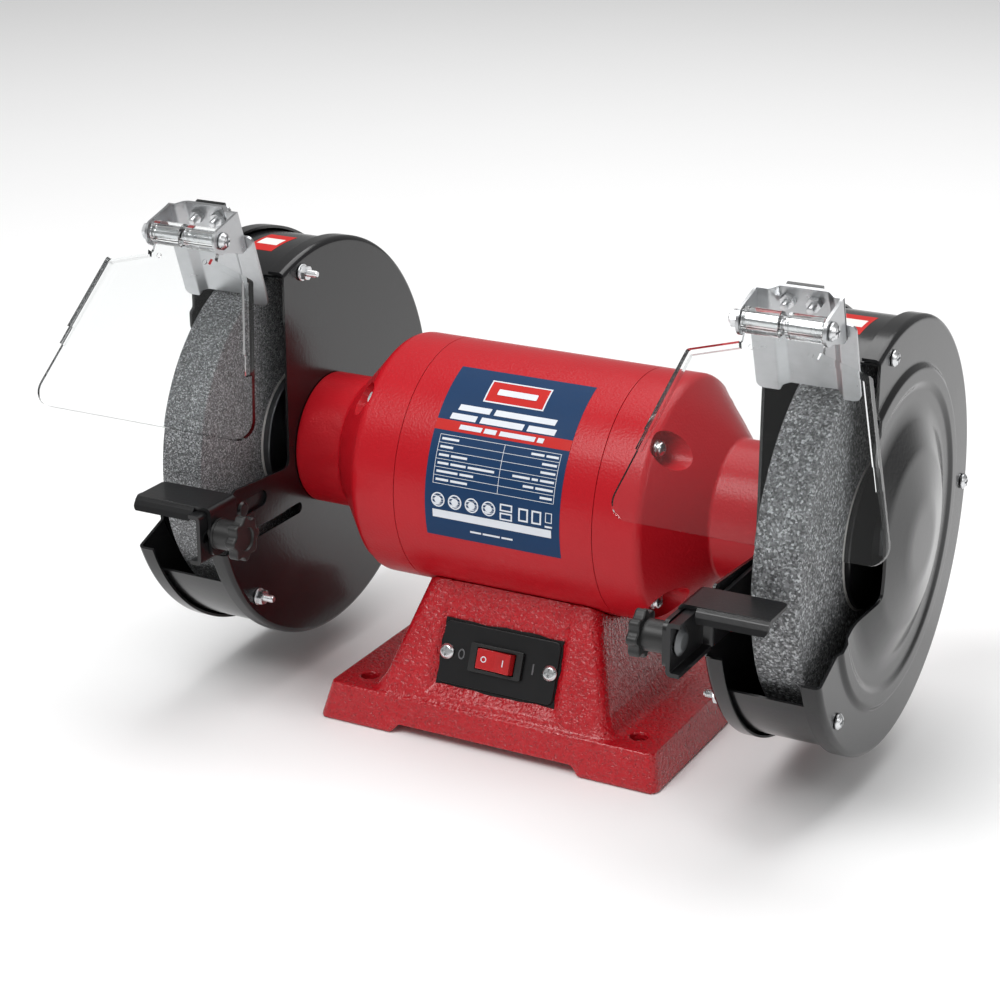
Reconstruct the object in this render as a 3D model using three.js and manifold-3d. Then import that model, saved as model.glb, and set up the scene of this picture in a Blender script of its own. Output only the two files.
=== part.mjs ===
// Bench grinder with two 200 mm wheels on one motor spindle. Millimetres, X along the spindle, front is -Y,
// +Z up, the bench is z = 0. Inside the "machine" group y = 0 is the spindle axis.
import * as THREE from "three";
import { ConvexGeometry } from "three/addons/geometries/ConvexGeometry.js";
import { mergeVertices } from "three/addons/utils/BufferGeometryUtils.js";
import Module from "manifold-3d";

const wasm = await Module();
wasm.setup();

// Driving dimensions.
const GAP = 0.3;
const WHEEL_RADIUS = 100;
const FLANGE_RADIUS = 39.3;
const WHEEL_WIDTH = 25;
const WHEEL_CENTRE_X = 170.9;
const AXLE_RADIUS = 8;
const SPINDLE_HEIGHT = 134;
const MOTOR_RADIUS = 67.2;
const SHELL_HALF = 58.2;
const SHOULDER_X = 83.4;
const NECK_RADIUS = 37;
const NECK_START_X = 110.2;
const NECK_END_X = 138;
const SHEET = 1.5;
const GUARD_RADIUS = 113.8;
const LIP_WIDTH = 9.9;
const PAN_X = 138.3;
const COVER_X = 198.1;
const GUARD_FRONT_Y = -43;
const BASE_HALF_X = 102.1;
const BASE_HALF_Y = 78.1;
const FLANGE_HEIGHT = 20;
const PLATE_TILT = 21.3;
const STUD_RADIUS = 3;
const REST_TOP_Z = 133.5;
const LARGE_SIDES = 32;
const SMALL_SIDES = 16;

// Sizes worked out from them.
const SHAFT_RADIUS = AXLE_RADIUS + 2;
const WHEEL_IN_X = WHEEL_CENTRE_X - WHEEL_WIDTH / 2;
const WHEEL_OUT_X = WHEEL_CENTRE_X + WHEEL_WIDTH / 2;
const SHELL_INNER = MOTOR_RADIUS - 2.5;
const TIE_RADIUS = MOTOR_RADIUS - 8.2;
const TIE_SEAT_X = SHOULDER_X - 1.4;
const BAND_RADIUS = GUARD_RADIUS - SHEET - 1.4;
const COVER_SCREW_RADIUS = WHEEL_RADIUS + 5;
const COVER_SCREW_ANGLES = [76, 182, -41];
const ARM_WEB_X = PAN_X - GAP - 2.4;
const ARM_TOP_Z = REST_TOP_Z - 2.5;
const STUD_Z = ARM_TOP_Z - 13;

// The two ends are set differently: the right one is pulled further forward than the left one.
const SIDES = {
  left: {
    name: "left", hand: -1, armFront: -135, legFront: -128, knobY: -122, slotFront: -132.4,
    hingeY: -84, hingeZ: 265.3, shieldTilt: 31,
  },
  right: {
    name: "right", hand: 1, armFront: -147, legFront: -146, knobY: -136, slotFront: -144.4,
    hingeY: -101, hingeZ: 268.5, shieldTilt: 25.5,
  },
};
// The machine's y centre is brought over the frame's origin.
const SPINDLE_Y = 18;

// Colours and finishes.
const RED = { color: 0xb5121f, roughness: 0.35, metalness: 0 };
const BLACK_GLOSS = { color: 0x0c0c0d, roughness: 0.2, metalness: 0 };
const BLACK_SATIN = { color: 0x151516, roughness: 0.45, metalness: 0 };
const BLACK_PLASTIC = { color: 0x141414, roughness: 0.5, metalness: 0 };
const ZINC = { color: 0xa9abac, roughness: 0.4, metalness: 0.9 };
const BRIGHT_STEEL = { color: 0xc4c6c8, roughness: 0.25, metalness: 1 };
const DARK_STEEL = { color: 0x55575a, roughness: 0.5, metalness: 0.9 };
const COPPER = { color: 0x9a5a2c, roughness: 0.5, metalness: 0.4 };
const GRIT = { color: 0x6e6f70, roughness: 0.95, metalness: 0 };
const CLEAR = { color: 0xeef4f5, roughness: 0.05, metalness: 0 };
const RED_PLASTIC = { color: 0xb02a2f, roughness: 0.3, metalness: 0 };

const radians = THREE.MathUtils.degToRad;

// A three.js geometry as a solid: one shared point at each corner, faces outwards.
function solid(geometry) {
  const bare = geometry.clone();
  bare.deleteAttribute("normal");
  bare.deleteAttribute("uv");
  const merged = mergeVertices(bare, 1e-4);
  const index = merged.index.array;
  const kept = [];
  for (let i = 0; i < index.length; i += 3) {
    const [a, b, c] = [index[i], index[i + 1], index[i + 2]];
    if (a !== b && b !== c && a !== c) {
      kept.push(a, b, c);
    }
  }
  const build = (triVerts) =>
    new wasm.Manifold(
      new wasm.Mesh({ numProp: 3, vertProperties: merged.attributes.position.array, triVerts }),
    );
  const made = build(new Uint32Array(kept));
  if (made.volume() > 0) {
    return made;
  }
  for (let i = 0; i < kept.length; i += 3) {
    [kept[i + 1], kept[i + 2]] = [kept[i + 2], kept[i + 1]];
  }
  return build(new Uint32Array(kept));
}

function join(...solids) {
  return solids.reduce((sum, item) => sum.add(item));
}

function cut(body, ...tools) {
  return tools.reduce((rest, tool) => rest.subtract(tool), body);
}

function sub_part(name, shape, finish) {
  const found = shape.getMesh();
  const points = new Float32Array(found.numVert * 3);
  for (let i = 0; i < found.numVert; i++) {
    points.set(found.vertProperties.subarray(i * found.numProp, i * found.numProp + 3), i * 3);
  }
  const geometry = new THREE.BufferGeometry()
    .setAttribute("position", new THREE.BufferAttribute(points, 3))
    .setIndex(new THREE.BufferAttribute(new Uint32Array(found.triVerts), 1))
    .toNonIndexed();
  geometry.computeVertexNormals();
  const mesh = new THREE.Mesh(geometry, new THREE.MeshStandardMaterial(finish));
  mesh.name = name;
  return mesh;
}

// A ring turned about the spindle: points are [radius, x], in order round the closed section.
function turned(points, segments) {
  const profile = points.map(([r, x]) => new THREE.Vector2(r, x));
  profile.push(profile[0].clone());
  const geometry = new THREE.LatheGeometry(profile, segments);
  geometry.rotateZ(-Math.PI / 2);
  geometry.translate(0, 0, SPINDLE_HEIGHT);
  return solid(geometry);
}

// A round bar along X between two x positions, about a line at y, z.
function bar_x(radius, from, to, y, z, segments, turn = 0) {
  const geometry = new THREE.CylinderGeometry(radius, radius, to - from, segments);
  geometry.rotateY(turn);
  geometry.rotateZ(-Math.PI / 2);
  geometry.translate((from + to) / 2, y, z);
  return solid(geometry);
}

function bar_z(radius, from, to, x, y, segments) {
  const geometry = new THREE.CylinderGeometry(radius, radius, to - from, segments);
  geometry.rotateX(Math.PI / 2);
  geometry.translate(x, y, (from + to) / 2);
  return solid(geometry);
}

function bar_y(radius, from, to, x, z, segments) {
  const geometry = new THREE.CylinderGeometry(radius, radius, to - from, segments);
  geometry.translate(x, (from + to) / 2, z);
  return solid(geometry);
}

function box(x0, x1, y0, y1, z0, z1) {
  const geometry = new THREE.BoxGeometry(x1 - x0, y1 - y0, z1 - z0);
  geometry.translate((x0 + x1) / 2, (y0 + y1) / 2, (z0 + z1) / 2);
  return solid(geometry);
}

// The convex solid round a list of [x, y, z] points.
function hull(points) {
  return solid(new ConvexGeometry(points.map(([x, y, z]) => new THREE.Vector3(x, y, z))));
}

function rounded_rectangle(halfX, halfY, radius, z, steps) {
  const points = [];
  for (const [sx, sy] of [[1, 1], [-1, 1], [-1, -1], [1, -1]]) {
    for (let i = 0; i <= steps; i++) {
      const angle = (Math.PI / 2) * (i / steps);
      const along = radius * (1 - Math.cos(angle));
      const across = radius * (1 - Math.sin(angle));
      points.push([sx * (halfX - along), sy * (halfY - across), z]);
    }
  }
  return points;
}

// A block that narrows from one rounded rectangle to another above it.
function taper(low, high, steps = 3) {
  return hull([...rounded_rectangle(...low, steps), ...rounded_rectangle(...high, steps)]);
}

// A flat plate square to X: an outline in (y, z), with holes, between two x positions.
function plate_x(outline, from, to, holes = []) {
  const shape = new THREE.Shape(outline.map(([y, z]) => new THREE.Vector2(y, z)));
  for (const hole of holes) {
    shape.holes.push(new THREE.Path(hole.map(([y, z]) => new THREE.Vector2(y, z))));
  }
  const geometry = new THREE.ExtrudeGeometry(shape, { depth: to - from, bevelEnabled: false });
  const axes = new THREE.Matrix4().makeBasis(
    new THREE.Vector3(0, 1, 0),
    new THREE.Vector3(0, 0, 1),
    new THREE.Vector3(1, 0, 0),
  );
  geometry.applyMatrix4(axes);
  geometry.translate(from, 0, 0);
  return solid(geometry);
}

// A flat plate square to Y: an outline in (x, z), between two y positions.
function plate_y(outline, from, to, holes = []) {
  const shape = new THREE.Shape(outline.map(([x, z]) => new THREE.Vector2(x, z)));
  for (const hole of holes) {
    shape.holes.push(new THREE.Path(hole.map(([x, z]) => new THREE.Vector2(x, z))));
  }
  const geometry = new THREE.ExtrudeGeometry(shape, { depth: to - from, bevelEnabled: false });
  geometry.rotateX(Math.PI / 2);
  geometry.translate(0, to, 0);
  return solid(geometry);
}

// A sheet that follows a bent line in (y, z), as thick as given to the left of the line's direction.
function bent_strip(line, thickness, from, to) {
  const path = line.map(([y, z]) => new THREE.Vector2(y, z));
  const side = path.map((point, i) => {
    const before = path[Math.max(i - 1, 0)];
    const after = path[Math.min(i + 1, path.length - 1)];
    const first = point.clone().sub(before).normalize();
    const second = after.clone().sub(point).normalize();
    const a = i === 0 ? second : first;
    const b = i === path.length - 1 ? first : second;
    const mean = a.clone().add(b).normalize();
    const reach = thickness / Math.max(mean.dot(a), 0.3);
    return [point.x - mean.y * reach, point.y + mean.x * reach];
  });
  return plate_x([...line, ...side.reverse()], from, to);
}

function circle(y, z, radius, steps, start = 0, end = 360) {
  const points = [];
  const full = end - start === 360;
  const count = full ? steps : steps + 1;
  for (let i = 0; i < count; i++) {
    const angle = radians(start + ((end - start) * i) / steps);
    points.push([y + radius * Math.cos(angle), z + radius * Math.sin(angle)]);
  }
  return points;
}

// A slot with round ends along y.
function slot(y0, y1, z, radius, steps = 6) {
  return [
    ...circle(y1 - radius, z, radius, steps, -90, 90),
    ...circle(y0 + radius, z, radius, steps, 90, 270),
  ];
}

// A point on a circle about the spindle; the angle runs from the front (-Y) up over the top.
function about_spindle(radius, angle) {
  const turn = radians(angle);
  return [-radius * Math.cos(turn), SPINDLE_HEIGHT + radius * Math.sin(turn)];
}

// ---------------------------------------------------------------- base

const PANEL_CENTRE_Y = -57;
const PANEL_CENTRE_Z = 45.75;

// The pedestal narrows upwards between these sections; its faces slope the same way front and rear.
const PEDESTAL_LOW = { halfX: 70, halfY: 71, z: FLANGE_HEIGHT - 1 };
const PEDESTAL_TOP = { halfX: 50, halfY: 42.6, z: 82 };
const REAR_SLOPE = Math.atan2(PEDESTAL_LOW.halfY - PEDESTAL_TOP.halfY, PEDESTAL_TOP.z - PEDESTAL_LOW.z);
const GLAND_X = 28;
const GLAND_Z = 36;

// Moves a solid built about the origin, outwards along +Y, on to the pedestal's sloping rear face.
function on_rear(shape) {
  const y = PEDESTAL_LOW.halfY - (GLAND_Z - PEDESTAL_LOW.z) * Math.tan(REAR_SLOPE);
  return shape.rotate([THREE.MathUtils.radToDeg(REAR_SLOPE), 0, 0]).translate([GLAND_X, y, GLAND_Z]);
}

// Moves a solid built about the origin, front towards -Y, on to the sloping switch panel.
function on_panel(shape, x = 0) {
  return shape.rotate([-PLATE_TILT, 0, 0]).translate([x, PANEL_CENTRE_Y, PANEL_CENTRE_Z]);
}

function pocket_cutter() {
  const inner = [[36.5, -42, 82], [35.3, -62.3, 30]];
  const outer = [[37.6, -43.5, 82], [44.6, -74, 18.9]];
  const points = [];
  for (const [x, y, z] of [...inner, ...outer]) {
    points.push([x, y, z], [-x, y, z]);
  }
  return hull(points);
}

function base_casting() {
  const top = FLANGE_HEIGHT;
  const flange = taper([BASE_HALF_X, BASE_HALF_Y, 5, 0], [97.4, 72.5, 4, top]);
  const low = PEDESTAL_LOW;
  const high = PEDESTAL_TOP;
  const pedestal = taper([low.halfX, low.halfY, 7, low.z], [high.halfX, high.halfY, 6, high.z]);
  const root = taper([75.5, 71.6, 9, top - 0.5], [71, 69.3, 8, top + 2]);
  const fillet = taper([72.2, 70.2, 8, top + 1], [67.5, 66.5, 7, top + 8]);
  const body = join(flange, pedestal, root, fillet);
  const cavity = taper([48, 62, 6, -1], [42, 38, 6, 60]);
  const tunnel = hull([
    [57.7, -90, -1], [-57.7, -90, -1], [57.7, 90, -1], [-57.7, 90, -1],
    [52, -90, 5], [-52, -90, 5], [52, 90, 5], [-52, 90, 5],
  ]);
  const saddle = bar_x(MOTOR_RADIUS + GAP + 0.1, -80, 80, 0, SPINDLE_HEIGHT, 48);
  const window = on_panel(box(-15.5, 15, -20, 25, -8, 8));
  const holes = [];
  for (const x of [-82, 82]) {
    for (const y of [-55.6, 55.6]) {
      holes.push(bar_z(4.8, -1, top + 1, x, y, 16));
    }
  }
  const wires = bar_z(6, 50, 75, 0, 0, 12);
  const cord_hole = on_rear(bar_y(7.2, -30, 30, 0, 0, 16));
  return cut(body, cavity, tunnel, saddle, pocket_cutter(), window, wires, cord_hole, ...holes);
}

function bottom_cover() {
  return box(-51.5, 51.5, -66, 66, 3.2, 4.7);
}

function rounded_panel(halfX, halfZ, radius, from, to, steps = 4) {
  const outline = rounded_rectangle(halfX, halfZ, radius, 0, steps).map(([x, z]) => [x, z]);
  return plate_y(in_order(outline), from, to);
}

// The points of a convex outline in order round its centre.
function in_order(points) {
  const angle = ([x, z]) => Math.atan2(z, x);
  return [...points].sort((a, b) => angle(a) - angle(b));
}

function switch_plate() {
  const sheet = rounded_panel(34.75, 16.75, 3.5, -1.5, -0.3);
  const opening = box(-14.9, 13.4, -5, 5, -7.5, 7.5);
  const screws = [-31, 31].map((x) => bar_y(2.3, -4, 4, x, 0, 12));
  return on_panel(cut(sheet, opening, ...screws));
}

const BEZEL_X = -0.75;
const BEZEL_FRONT = -3.8;

function switch_housing() {
  const bezel = box(-15.75, 15.75, BEZEL_FRONT, -1.8, -7.75, 7.75);
  const body = box(-13.7, 13.7, -2, 18, -7.2, 7.2);
  const well = box(-11.7, 11.7, BEZEL_FRONT - 1, BEZEL_FRONT + 10, -6, 6);
  return on_panel(cut(join(bezel, body), well), BEZEL_X);
}

function switch_rocker() {
  const section = [[-10.8, 2.6], [0, 0.9], [10.8, 2.6], [10.8, -3], [4, -7], [-4, -7], [-10.8, -3]];
  const turn = radians(8);
  const pivot = -1.5;
  const outline = section.map(([u, w]) => {
    const rise = w - pivot;
    return [u * Math.cos(turn) - rise * Math.sin(turn), pivot + u * Math.sin(turn) + rise * Math.cos(turn)];
  });
  const shape = new THREE.Shape(outline.map(([u, w]) => new THREE.Vector2(u, -w + BEZEL_FRONT)));
  const geometry = new THREE.ExtrudeGeometry(shape, { depth: 11, bevelEnabled: false });
  geometry.translate(0, 0, -5.5);
  return on_panel(solid(geometry), BEZEL_X);
}

function switch_plate_screw(x) {
  const shank = bar_y(2, -3.3, 0.7, 0, 0, 10);
  const cap = solid(new THREE.CylinderGeometry(4.3, 3.6, 2.2, 12)).translate([0, -2.9, 0]);
  return on_panel(join(cap, shank), x);
}

function capacitor() {
  const can = new THREE.CylinderGeometry(13, 13, 62, 24);
  can.rotateZ(Math.PI / 2);
  return solid(can).translate([-3, 18, 24]);
}

function cable_gland() {
  const flange = solid(new THREE.CylinderGeometry(9, 10.5, 4, 20)).translate([0, 2 + GAP, 0]);
  const throat = bar_y(6.8, -19, 1, 0, 0, 16);
  const bore = bar_y(4, -30, 30, 0, 0, 12);
  return on_rear(cut(join(flange, throat), bore));
}

// ---------------------------------------------------------------- motor

function motor_shell() {
  const end = SHELL_HALF - 0.15;
  const tube = turned(
    [[SHELL_INNER, -end], [MOTOR_RADIUS, -end], [MOTOR_RADIUS, end], [SHELL_INNER, end]],
    LARGE_SIDES,
  );
  const wires = bar_z(6, 60, 90, 0, 0, 12);
  return cut(tube, wires);
}

function end_bell() {
  const run = NECK_START_X - SHOULDER_X;
  const fall = MOTOR_RADIUS - NECK_RADIUS;
  const slope = Math.atan2(fall, run);
  const round = 7;
  const reach = round * Math.tan(slope / 2);
  const outer = [[MOTOR_RADIUS, SHELL_HALF + 0.15]];
  const centreX = SHOULDER_X - reach;
  for (let i = 0; i <= 2; i++) {
    const turn = (slope * i) / 2;
    outer.push([MOTOR_RADIUS - round + round * Math.cos(turn), centreX + round * Math.sin(turn)]);
  }
  outer.push([NECK_RADIUS, NECK_START_X], [NECK_RADIUS, NECK_END_X]);
  const inner = [
    [14, NECK_END_X], [14, 129], [23.8, 129], [23.8, 104], [32, 98], [50, 77.5], [61, 77], [SHELL_INNER, 72],
    [SHELL_INNER, SHELL_HALF + 0.15],
  ];
  const body = turned([...outer, ...inner], LARGE_SIDES);
  const pockets = [];
  for (const angle of [45, 135, 225, 315]) {
    const [y, z] = about_spindle(TIE_RADIUS, angle);
    pockets.push(bar_x(9.5, TIE_SEAT_X, 125, y, z, 12));
    pockets.push(bar_x(2.9, 70, 90, y, z, 8));
  }
  return cut(body, ...pockets);
}

function stator_core() {
  const ring = turned([[33.6, -35], [64, -35], [64, 35], [33.6, 35]], LARGE_SIDES);
  const holes = [45, 135, 225, 315].map((angle) => {
    const [y, z] = about_spindle(TIE_RADIUS, angle);
    return bar_x(3.1, -40, 40, y, z, 8);
  });
  return cut(ring, ...holes);
}

function winding() {
  const inner = 35.4;
  return turned([[inner, 35.3], [55, 35.3], [55.5, 50], [51, 57], [42, 58], [inner, 52]], SMALL_SIDES);
}

function bearing() {
  return turned([[10.25, 112], [23.4, 112], [23.4, 126], [10.25, 126]], SMALL_SIDES);
}

function tie_bolt(angle) {
  const [y, z] = about_spindle(TIE_RADIUS, angle);
  const seat = TIE_SEAT_X + GAP;
  const shank = bar_x(2.5, -seat - 4, seat + 2, y, z, 8);
  const head = bar_x(4.6, seat, seat + 5, y, z, 6, radians(angle));
  const nut = bar_x(4.6, -seat - 4.4, -seat, y, z, 6, radians(angle + 20));
  return join(shank, head, nut);
}

function spindle_shaft() {
  const points = [];
  const steps = [[SHAFT_RADIUS, 145.6], [AXLE_RADIUS, 145.6], [AXLE_RADIUS, 205], [AXLE_RADIUS - 1, 206.2]];
  for (const [r, x] of [...steps].reverse()) {
    points.push([r, -x]);
  }
  points.push(...steps);
  const profile = [[0, -206.2], ...points, [0, 206.2]].map(([r, x]) => new THREE.Vector2(r, x));
  const geometry = new THREE.LatheGeometry(profile, SMALL_SIDES);
  geometry.rotateZ(-Math.PI / 2);
  geometry.translate(0, 0, SPINDLE_HEIGHT);
  return solid(geometry);
}

function rotor_core() {
  return turned([[10.3, -36], [33, -36], [33, 36], [10.3, 36]], SMALL_SIDES);
}

// ---------------------------------------------------------------- wheels, flanges and nuts

function grinding_wheel() {
  const edge = 1;
  return turned(
    [
      [AXLE_RADIUS + 0.3, WHEEL_IN_X],
      [WHEEL_RADIUS - edge, WHEEL_IN_X],
      [WHEEL_RADIUS, WHEEL_IN_X + edge],
      [WHEEL_RADIUS, WHEEL_OUT_X - edge],
      [WHEEL_RADIUS - edge, WHEEL_OUT_X],
      [AXLE_RADIUS + 0.3, WHEEL_OUT_X],
    ],
    LARGE_SIDES,
  );
}

function inner_flange() {
  const face = WHEEL_IN_X - GAP;
  const bore = AXLE_RADIUS + 0.3;
  return turned(
    [
      [bore, 146], [18, 146], [20, 150], [FLANGE_RADIUS, face - 4], [FLANGE_RADIUS, face],
      [28, face], [27, face - 1], [bore, face - 1],
    ],
    SMALL_SIDES,
  );
}

function outer_flange() {
  const face = WHEEL_OUT_X + GAP;
  const bore = AXLE_RADIUS + 0.3;
  return turned(
    [
      [bore, face + 1], [27, face + 1], [28, face], [FLANGE_RADIUS, face], [FLANGE_RADIUS, face + 3],
      [22, face + 8.5], [bore, face + 8.5],
    ],
    SMALL_SIDES,
  );
}

function spindle_nut() {
  const seat = WHEEL_OUT_X + GAP + 8.5 + GAP;
  const nut = bar_x(13.8, seat, seat + 12, 0, SPINDLE_HEIGHT, 6);
  return cut(nut, bar_x(AXLE_RADIUS + 0.3, seat - 1, seat + 13, 0, SPINDLE_HEIGHT, 24));
}

// ---------------------------------------------------------------- guards

function screw_holes(radius, from, to) {
  return COVER_SCREW_ANGLES.map((angle) => {
    const [y, z] = about_spindle(COVER_SCREW_RADIUS, angle);
    return bar_x(radius, from, to, y, z, 8);
  });
}

function guard_inner_pan() {
  const rim = GUARD_RADIUS;
  const web = PAN_X + SHEET;
  const lip = PAN_X + LIP_WIDTH;
  const pan = turned(
    [
      [14, PAN_X], [rim - 1.4, PAN_X], [rim, PAN_X + 1.4], [rim, lip],
      [rim - SHEET, lip], [rim - SHEET, web], [14, web],
    ],
    LARGE_SIDES,
  );
  const [endY, endZ] = about_spindle(rim, -18.5);
  const front = plate_x(
    [
      [GUARD_FRONT_Y, 270], [GUARD_FRONT_Y, 129], [-99, 133], [-100, 131], [-100, 103],
      [endY + 1.2, endZ + 0.6], [endY - 8, endZ + 0.4], [-125, 110], [-125, 270],
    ],
    PAN_X - 5,
    lip + 5,
  );
  const short_slot = plate_x(slot(-96, -67, 120, 4.5), PAN_X - 2, web + 2);
  const long_slot = plate_x(slot(-78, -32, 102.2, 3.2), PAN_X - 2, web + 2);
  return cut(pan, front, short_slot, long_slot, ...screw_holes(2.4, PAN_X - 2, web + 2));
}

// The strap welded on the band's top end carries the eye shield bracket and the spark arrester.
function bracket_strap(side) {
  const back = -7.9;
  const [lowY, lowZ] = unit_point(side, back, -19);
  const [topY, topZ] = unit_point(side, back, 12);
  const from = about_spindle(BAND_RADIUS - 0.6, 76);
  const bend = about_spindle(BAND_RADIUS - 0.6, 69);
  return bent_strip([[topY, topZ], [lowY, lowZ], bend, from], -2, 162, 180);
}

function guard_band(side) {
  const outer = BAND_RADIUS;
  const inner = outer - 1.2;
  const start = 68;
  const end = 329;
  const outline = [];
  const steps = 30;
  for (let i = 0; i <= steps; i++) {
    outline.push(about_spindle(outer, start + ((end - start) * i) / steps));
  }
  for (let i = steps; i >= 0; i--) {
    outline.push(about_spindle(inner, start + ((end - start) * i) / steps));
  }
  const ring = plate_x(outline, PAN_X + SHEET + GAP, COVER_X - SHEET - GAP);
  return join(ring, bracket_strap(side));
}

function guard_outer_cover() {
  const face = [
    [GUARD_RADIUS, COVER_X - LIP_WIDTH], [GUARD_RADIUS, COVER_X - 1.4], [GUARD_RADIUS - 1.4, COVER_X],
    [89.5, COVER_X], [87, 200.3], [80, 200.3], [77, 198.7], [66, 198.7], [56, 201], [46, 205.8], [34, 209.4],
  ];
  const back = face.slice(3).map(([r, x]) => [r, x - SHEET]).reverse();
  const profile = [
    [0, 211.2], [0, 211.2 - SHEET], ...back,
    [GUARD_RADIUS - SHEET, COVER_X - SHEET], [GUARD_RADIUS - SHEET, COVER_X - LIP_WIDTH],
  ];
  const loop = [...profile, ...face];
  const points = loop.map(([r, x]) => new THREE.Vector2(r, x));
  const geometry = new THREE.LatheGeometry([points[1], ...points.slice(2), points[0]], LARGE_SIDES);
  geometry.rotateZ(-Math.PI / 2);
  geometry.translate(0, 0, SPINDLE_HEIGHT);
  const cover = solid(geometry);
  const [endY, endZ] = about_spindle(GUARD_RADIUS, -21.5);
  const front = plate_x(
    [
      [GUARD_FRONT_Y, 270], [GUARD_FRONT_Y, 120], [GUARD_FRONT_Y - 1, 117.6], [GUARD_FRONT_Y - 3.4, 115.2],
      [endY, endZ], [endY - 14, endZ - 5.3], [-125, 270],
    ],
    COVER_X - 20,
    COVER_X + 30,
  );
  return cut(cover, front, ...screw_holes(2.4, COVER_X - 5, COVER_X + 5));
}

function cover_screw(angle) {
  const [y, z] = about_spindle(COVER_SCREW_RADIUS, angle);
  const seat = PAN_X - GAP;
  const shank = bar_x(2, seat - 10, COVER_X + 1, y, z, 8);
  const head = bar_x(4.2, COVER_X + GAP, COVER_X + GAP + 2.6, y, z, 12);
  const washer = bar_x(4.7, seat - 1, seat, y, z, 12);
  const nut = bar_x(4.2, seat - 4.2, seat - 0.9, y, z, 6);
  return join(shank, head, washer, nut);
}

// ---------------------------------------------------------------- tool rests

function tool_rest_arm(side) {
  const web = ARM_WEB_X;
  const thick = 2.2;
  const front = side.armFront;
  const low = ARM_TOP_Z - 27.6;
  const channel = box(web, web + thick, front, -105.9, low, ARM_TOP_Z);
  const top = box(web, web + 7, front, -108.5, ARM_TOP_Z - thick, ARM_TOP_Z);
  const bottom = box(web, web + 7, front, -108.5, low, low + thick);
  const inside = PAN_X + SHEET + 0.4;
  const joggle = hull([
    [web, -106, low], [web + thick, -106, low], [inside, -104, low], [inside + thick, -104, low],
    [web, -106, ARM_TOP_Z - 4], [web + thick, -106, ARM_TOP_Z - 4],
    [inside, -104, ARM_TOP_Z - 4], [inside + thick, -104, ARM_TOP_Z - 4],
    [web, -107, low], [web, -107, ARM_TOP_Z - 4],
    [inside + thick, -103, low], [inside + thick, -103, ARM_TOP_Z - 4],
  ]);
  const tongue = box(inside, inside + thick, -103.6, -45, low, ARM_TOP_Z - 4);
  const travel = plate_x(slot(side.slotFront, side.knobY + 6, STUD_Z, 3.4), web - 2, web + thick + 2);
  const fixing = bar_x(3.2, inside - 2, inside + thick + 2, -91, 120, 12);
  return cut(join(channel, top, bottom, joggle, tongue), travel, fixing);
}

function tool_rest(side) {
  const inner = ARM_WEB_X - GAP - 2.2;
  const outer = ARM_WEB_X - GAP;
  const low = 106;
  const leg = plate_x(
    [
      [-104, REST_TOP_Z], [-104, low + 6], [-110, low], [side.legFront + 6, low],
      [side.legFront, low + 6], [side.legFront, REST_TOP_Z - 5], [side.legFront + 5, REST_TOP_Z - 0.6],
      [-128, REST_TOP_Z],
    ],
    inner,
    outer,
    [circle(side.knobY, STUD_Z, 3.3, 12)],
  );
  const table = box(inner + 0.5, 180, -128, -104, REST_TOP_Z - 2.2, REST_TOP_Z);
  const lip = plate_x(
    [[-128, REST_TOP_Z], [-128, REST_TOP_Z - 2.2], [-130, REST_TOP_Z - 7.6], [-132.2, REST_TOP_Z - 7]],
    143,
    180,
  );
  return join(leg, table, lip);
}

function rest_bolt(side) {
  const back = ARM_WEB_X + 2.2 + GAP;
  const shank = bar_x(STUD_RADIUS, 118.5, back + 0.5, side.knobY, STUD_Z, 12);
  const head = solid(turned_bolt_head(7.5, 2.8)).translate([back, side.knobY, STUD_Z]);
  return join(shank, head);
}

function turned_bolt_head(radius, height) {
  const profile = [[0, 0], [radius, 0], [radius, 0.9], [radius * 0.6, height * 0.85], [0, height]];
  const geometry = new THREE.LatheGeometry(profile.map(([r, x]) => new THREE.Vector2(r, x)), 16);
  geometry.rotateZ(-Math.PI / 2);
  return geometry;
}

function tool_rest_knob(side) {
  const face = ARM_WEB_X - GAP - 2.2 - GAP;
  const outline = [];
  const lobes = 8;
  const steps = lobes * 4;
  for (let i = 0; i < steps; i++) {
    const angle = (2 * Math.PI * i) / steps;
    const radius = 11.4 + Math.cos(lobes * angle);
    outline.push([side.knobY + radius * Math.cos(angle), STUD_Z + radius * Math.sin(angle)]);
  }
  const head = plate_x(outline, 115, 121);
  const hub = bar_x(8, 120.5, face - 1.2, side.knobY, STUD_Z, SMALL_SIDES);
  const washer = bar_x(8.6, face - 1.6, face, side.knobY, STUD_Z, SMALL_SIDES);
  const bore = bar_x(STUD_RADIUS + 0.4, 117.5, face + 1, side.knobY, STUD_Z, 12);
  return cut(join(head, hub, washer), bore);
}

// ---------------------------------------------------------------- arrester, bracket and eye shield

const UNIT_TILT = 19;
const UNIT_BACK = 20;

// A point of the tilted sheets: w forward of the wing's front face, v up the sheet from the hinge's height.
function unit_point(side, w, v) {
  const turn = radians(UNIT_TILT);
  const y = side.hingeY + UNIT_BACK - w * Math.cos(turn) - v * Math.sin(turn);
  const z = side.hingeZ - w * Math.sin(turn) + v * Math.cos(turn);
  return [y, z];
}

// Places a solid built in (x, w as -y, v as z) on the tilted plane.
function on_unit(side, shape) {
  return shape.rotate([UNIT_TILT, 0, 0]).translate([0, side.hingeY + UNIT_BACK, side.hingeZ]);
}

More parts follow.
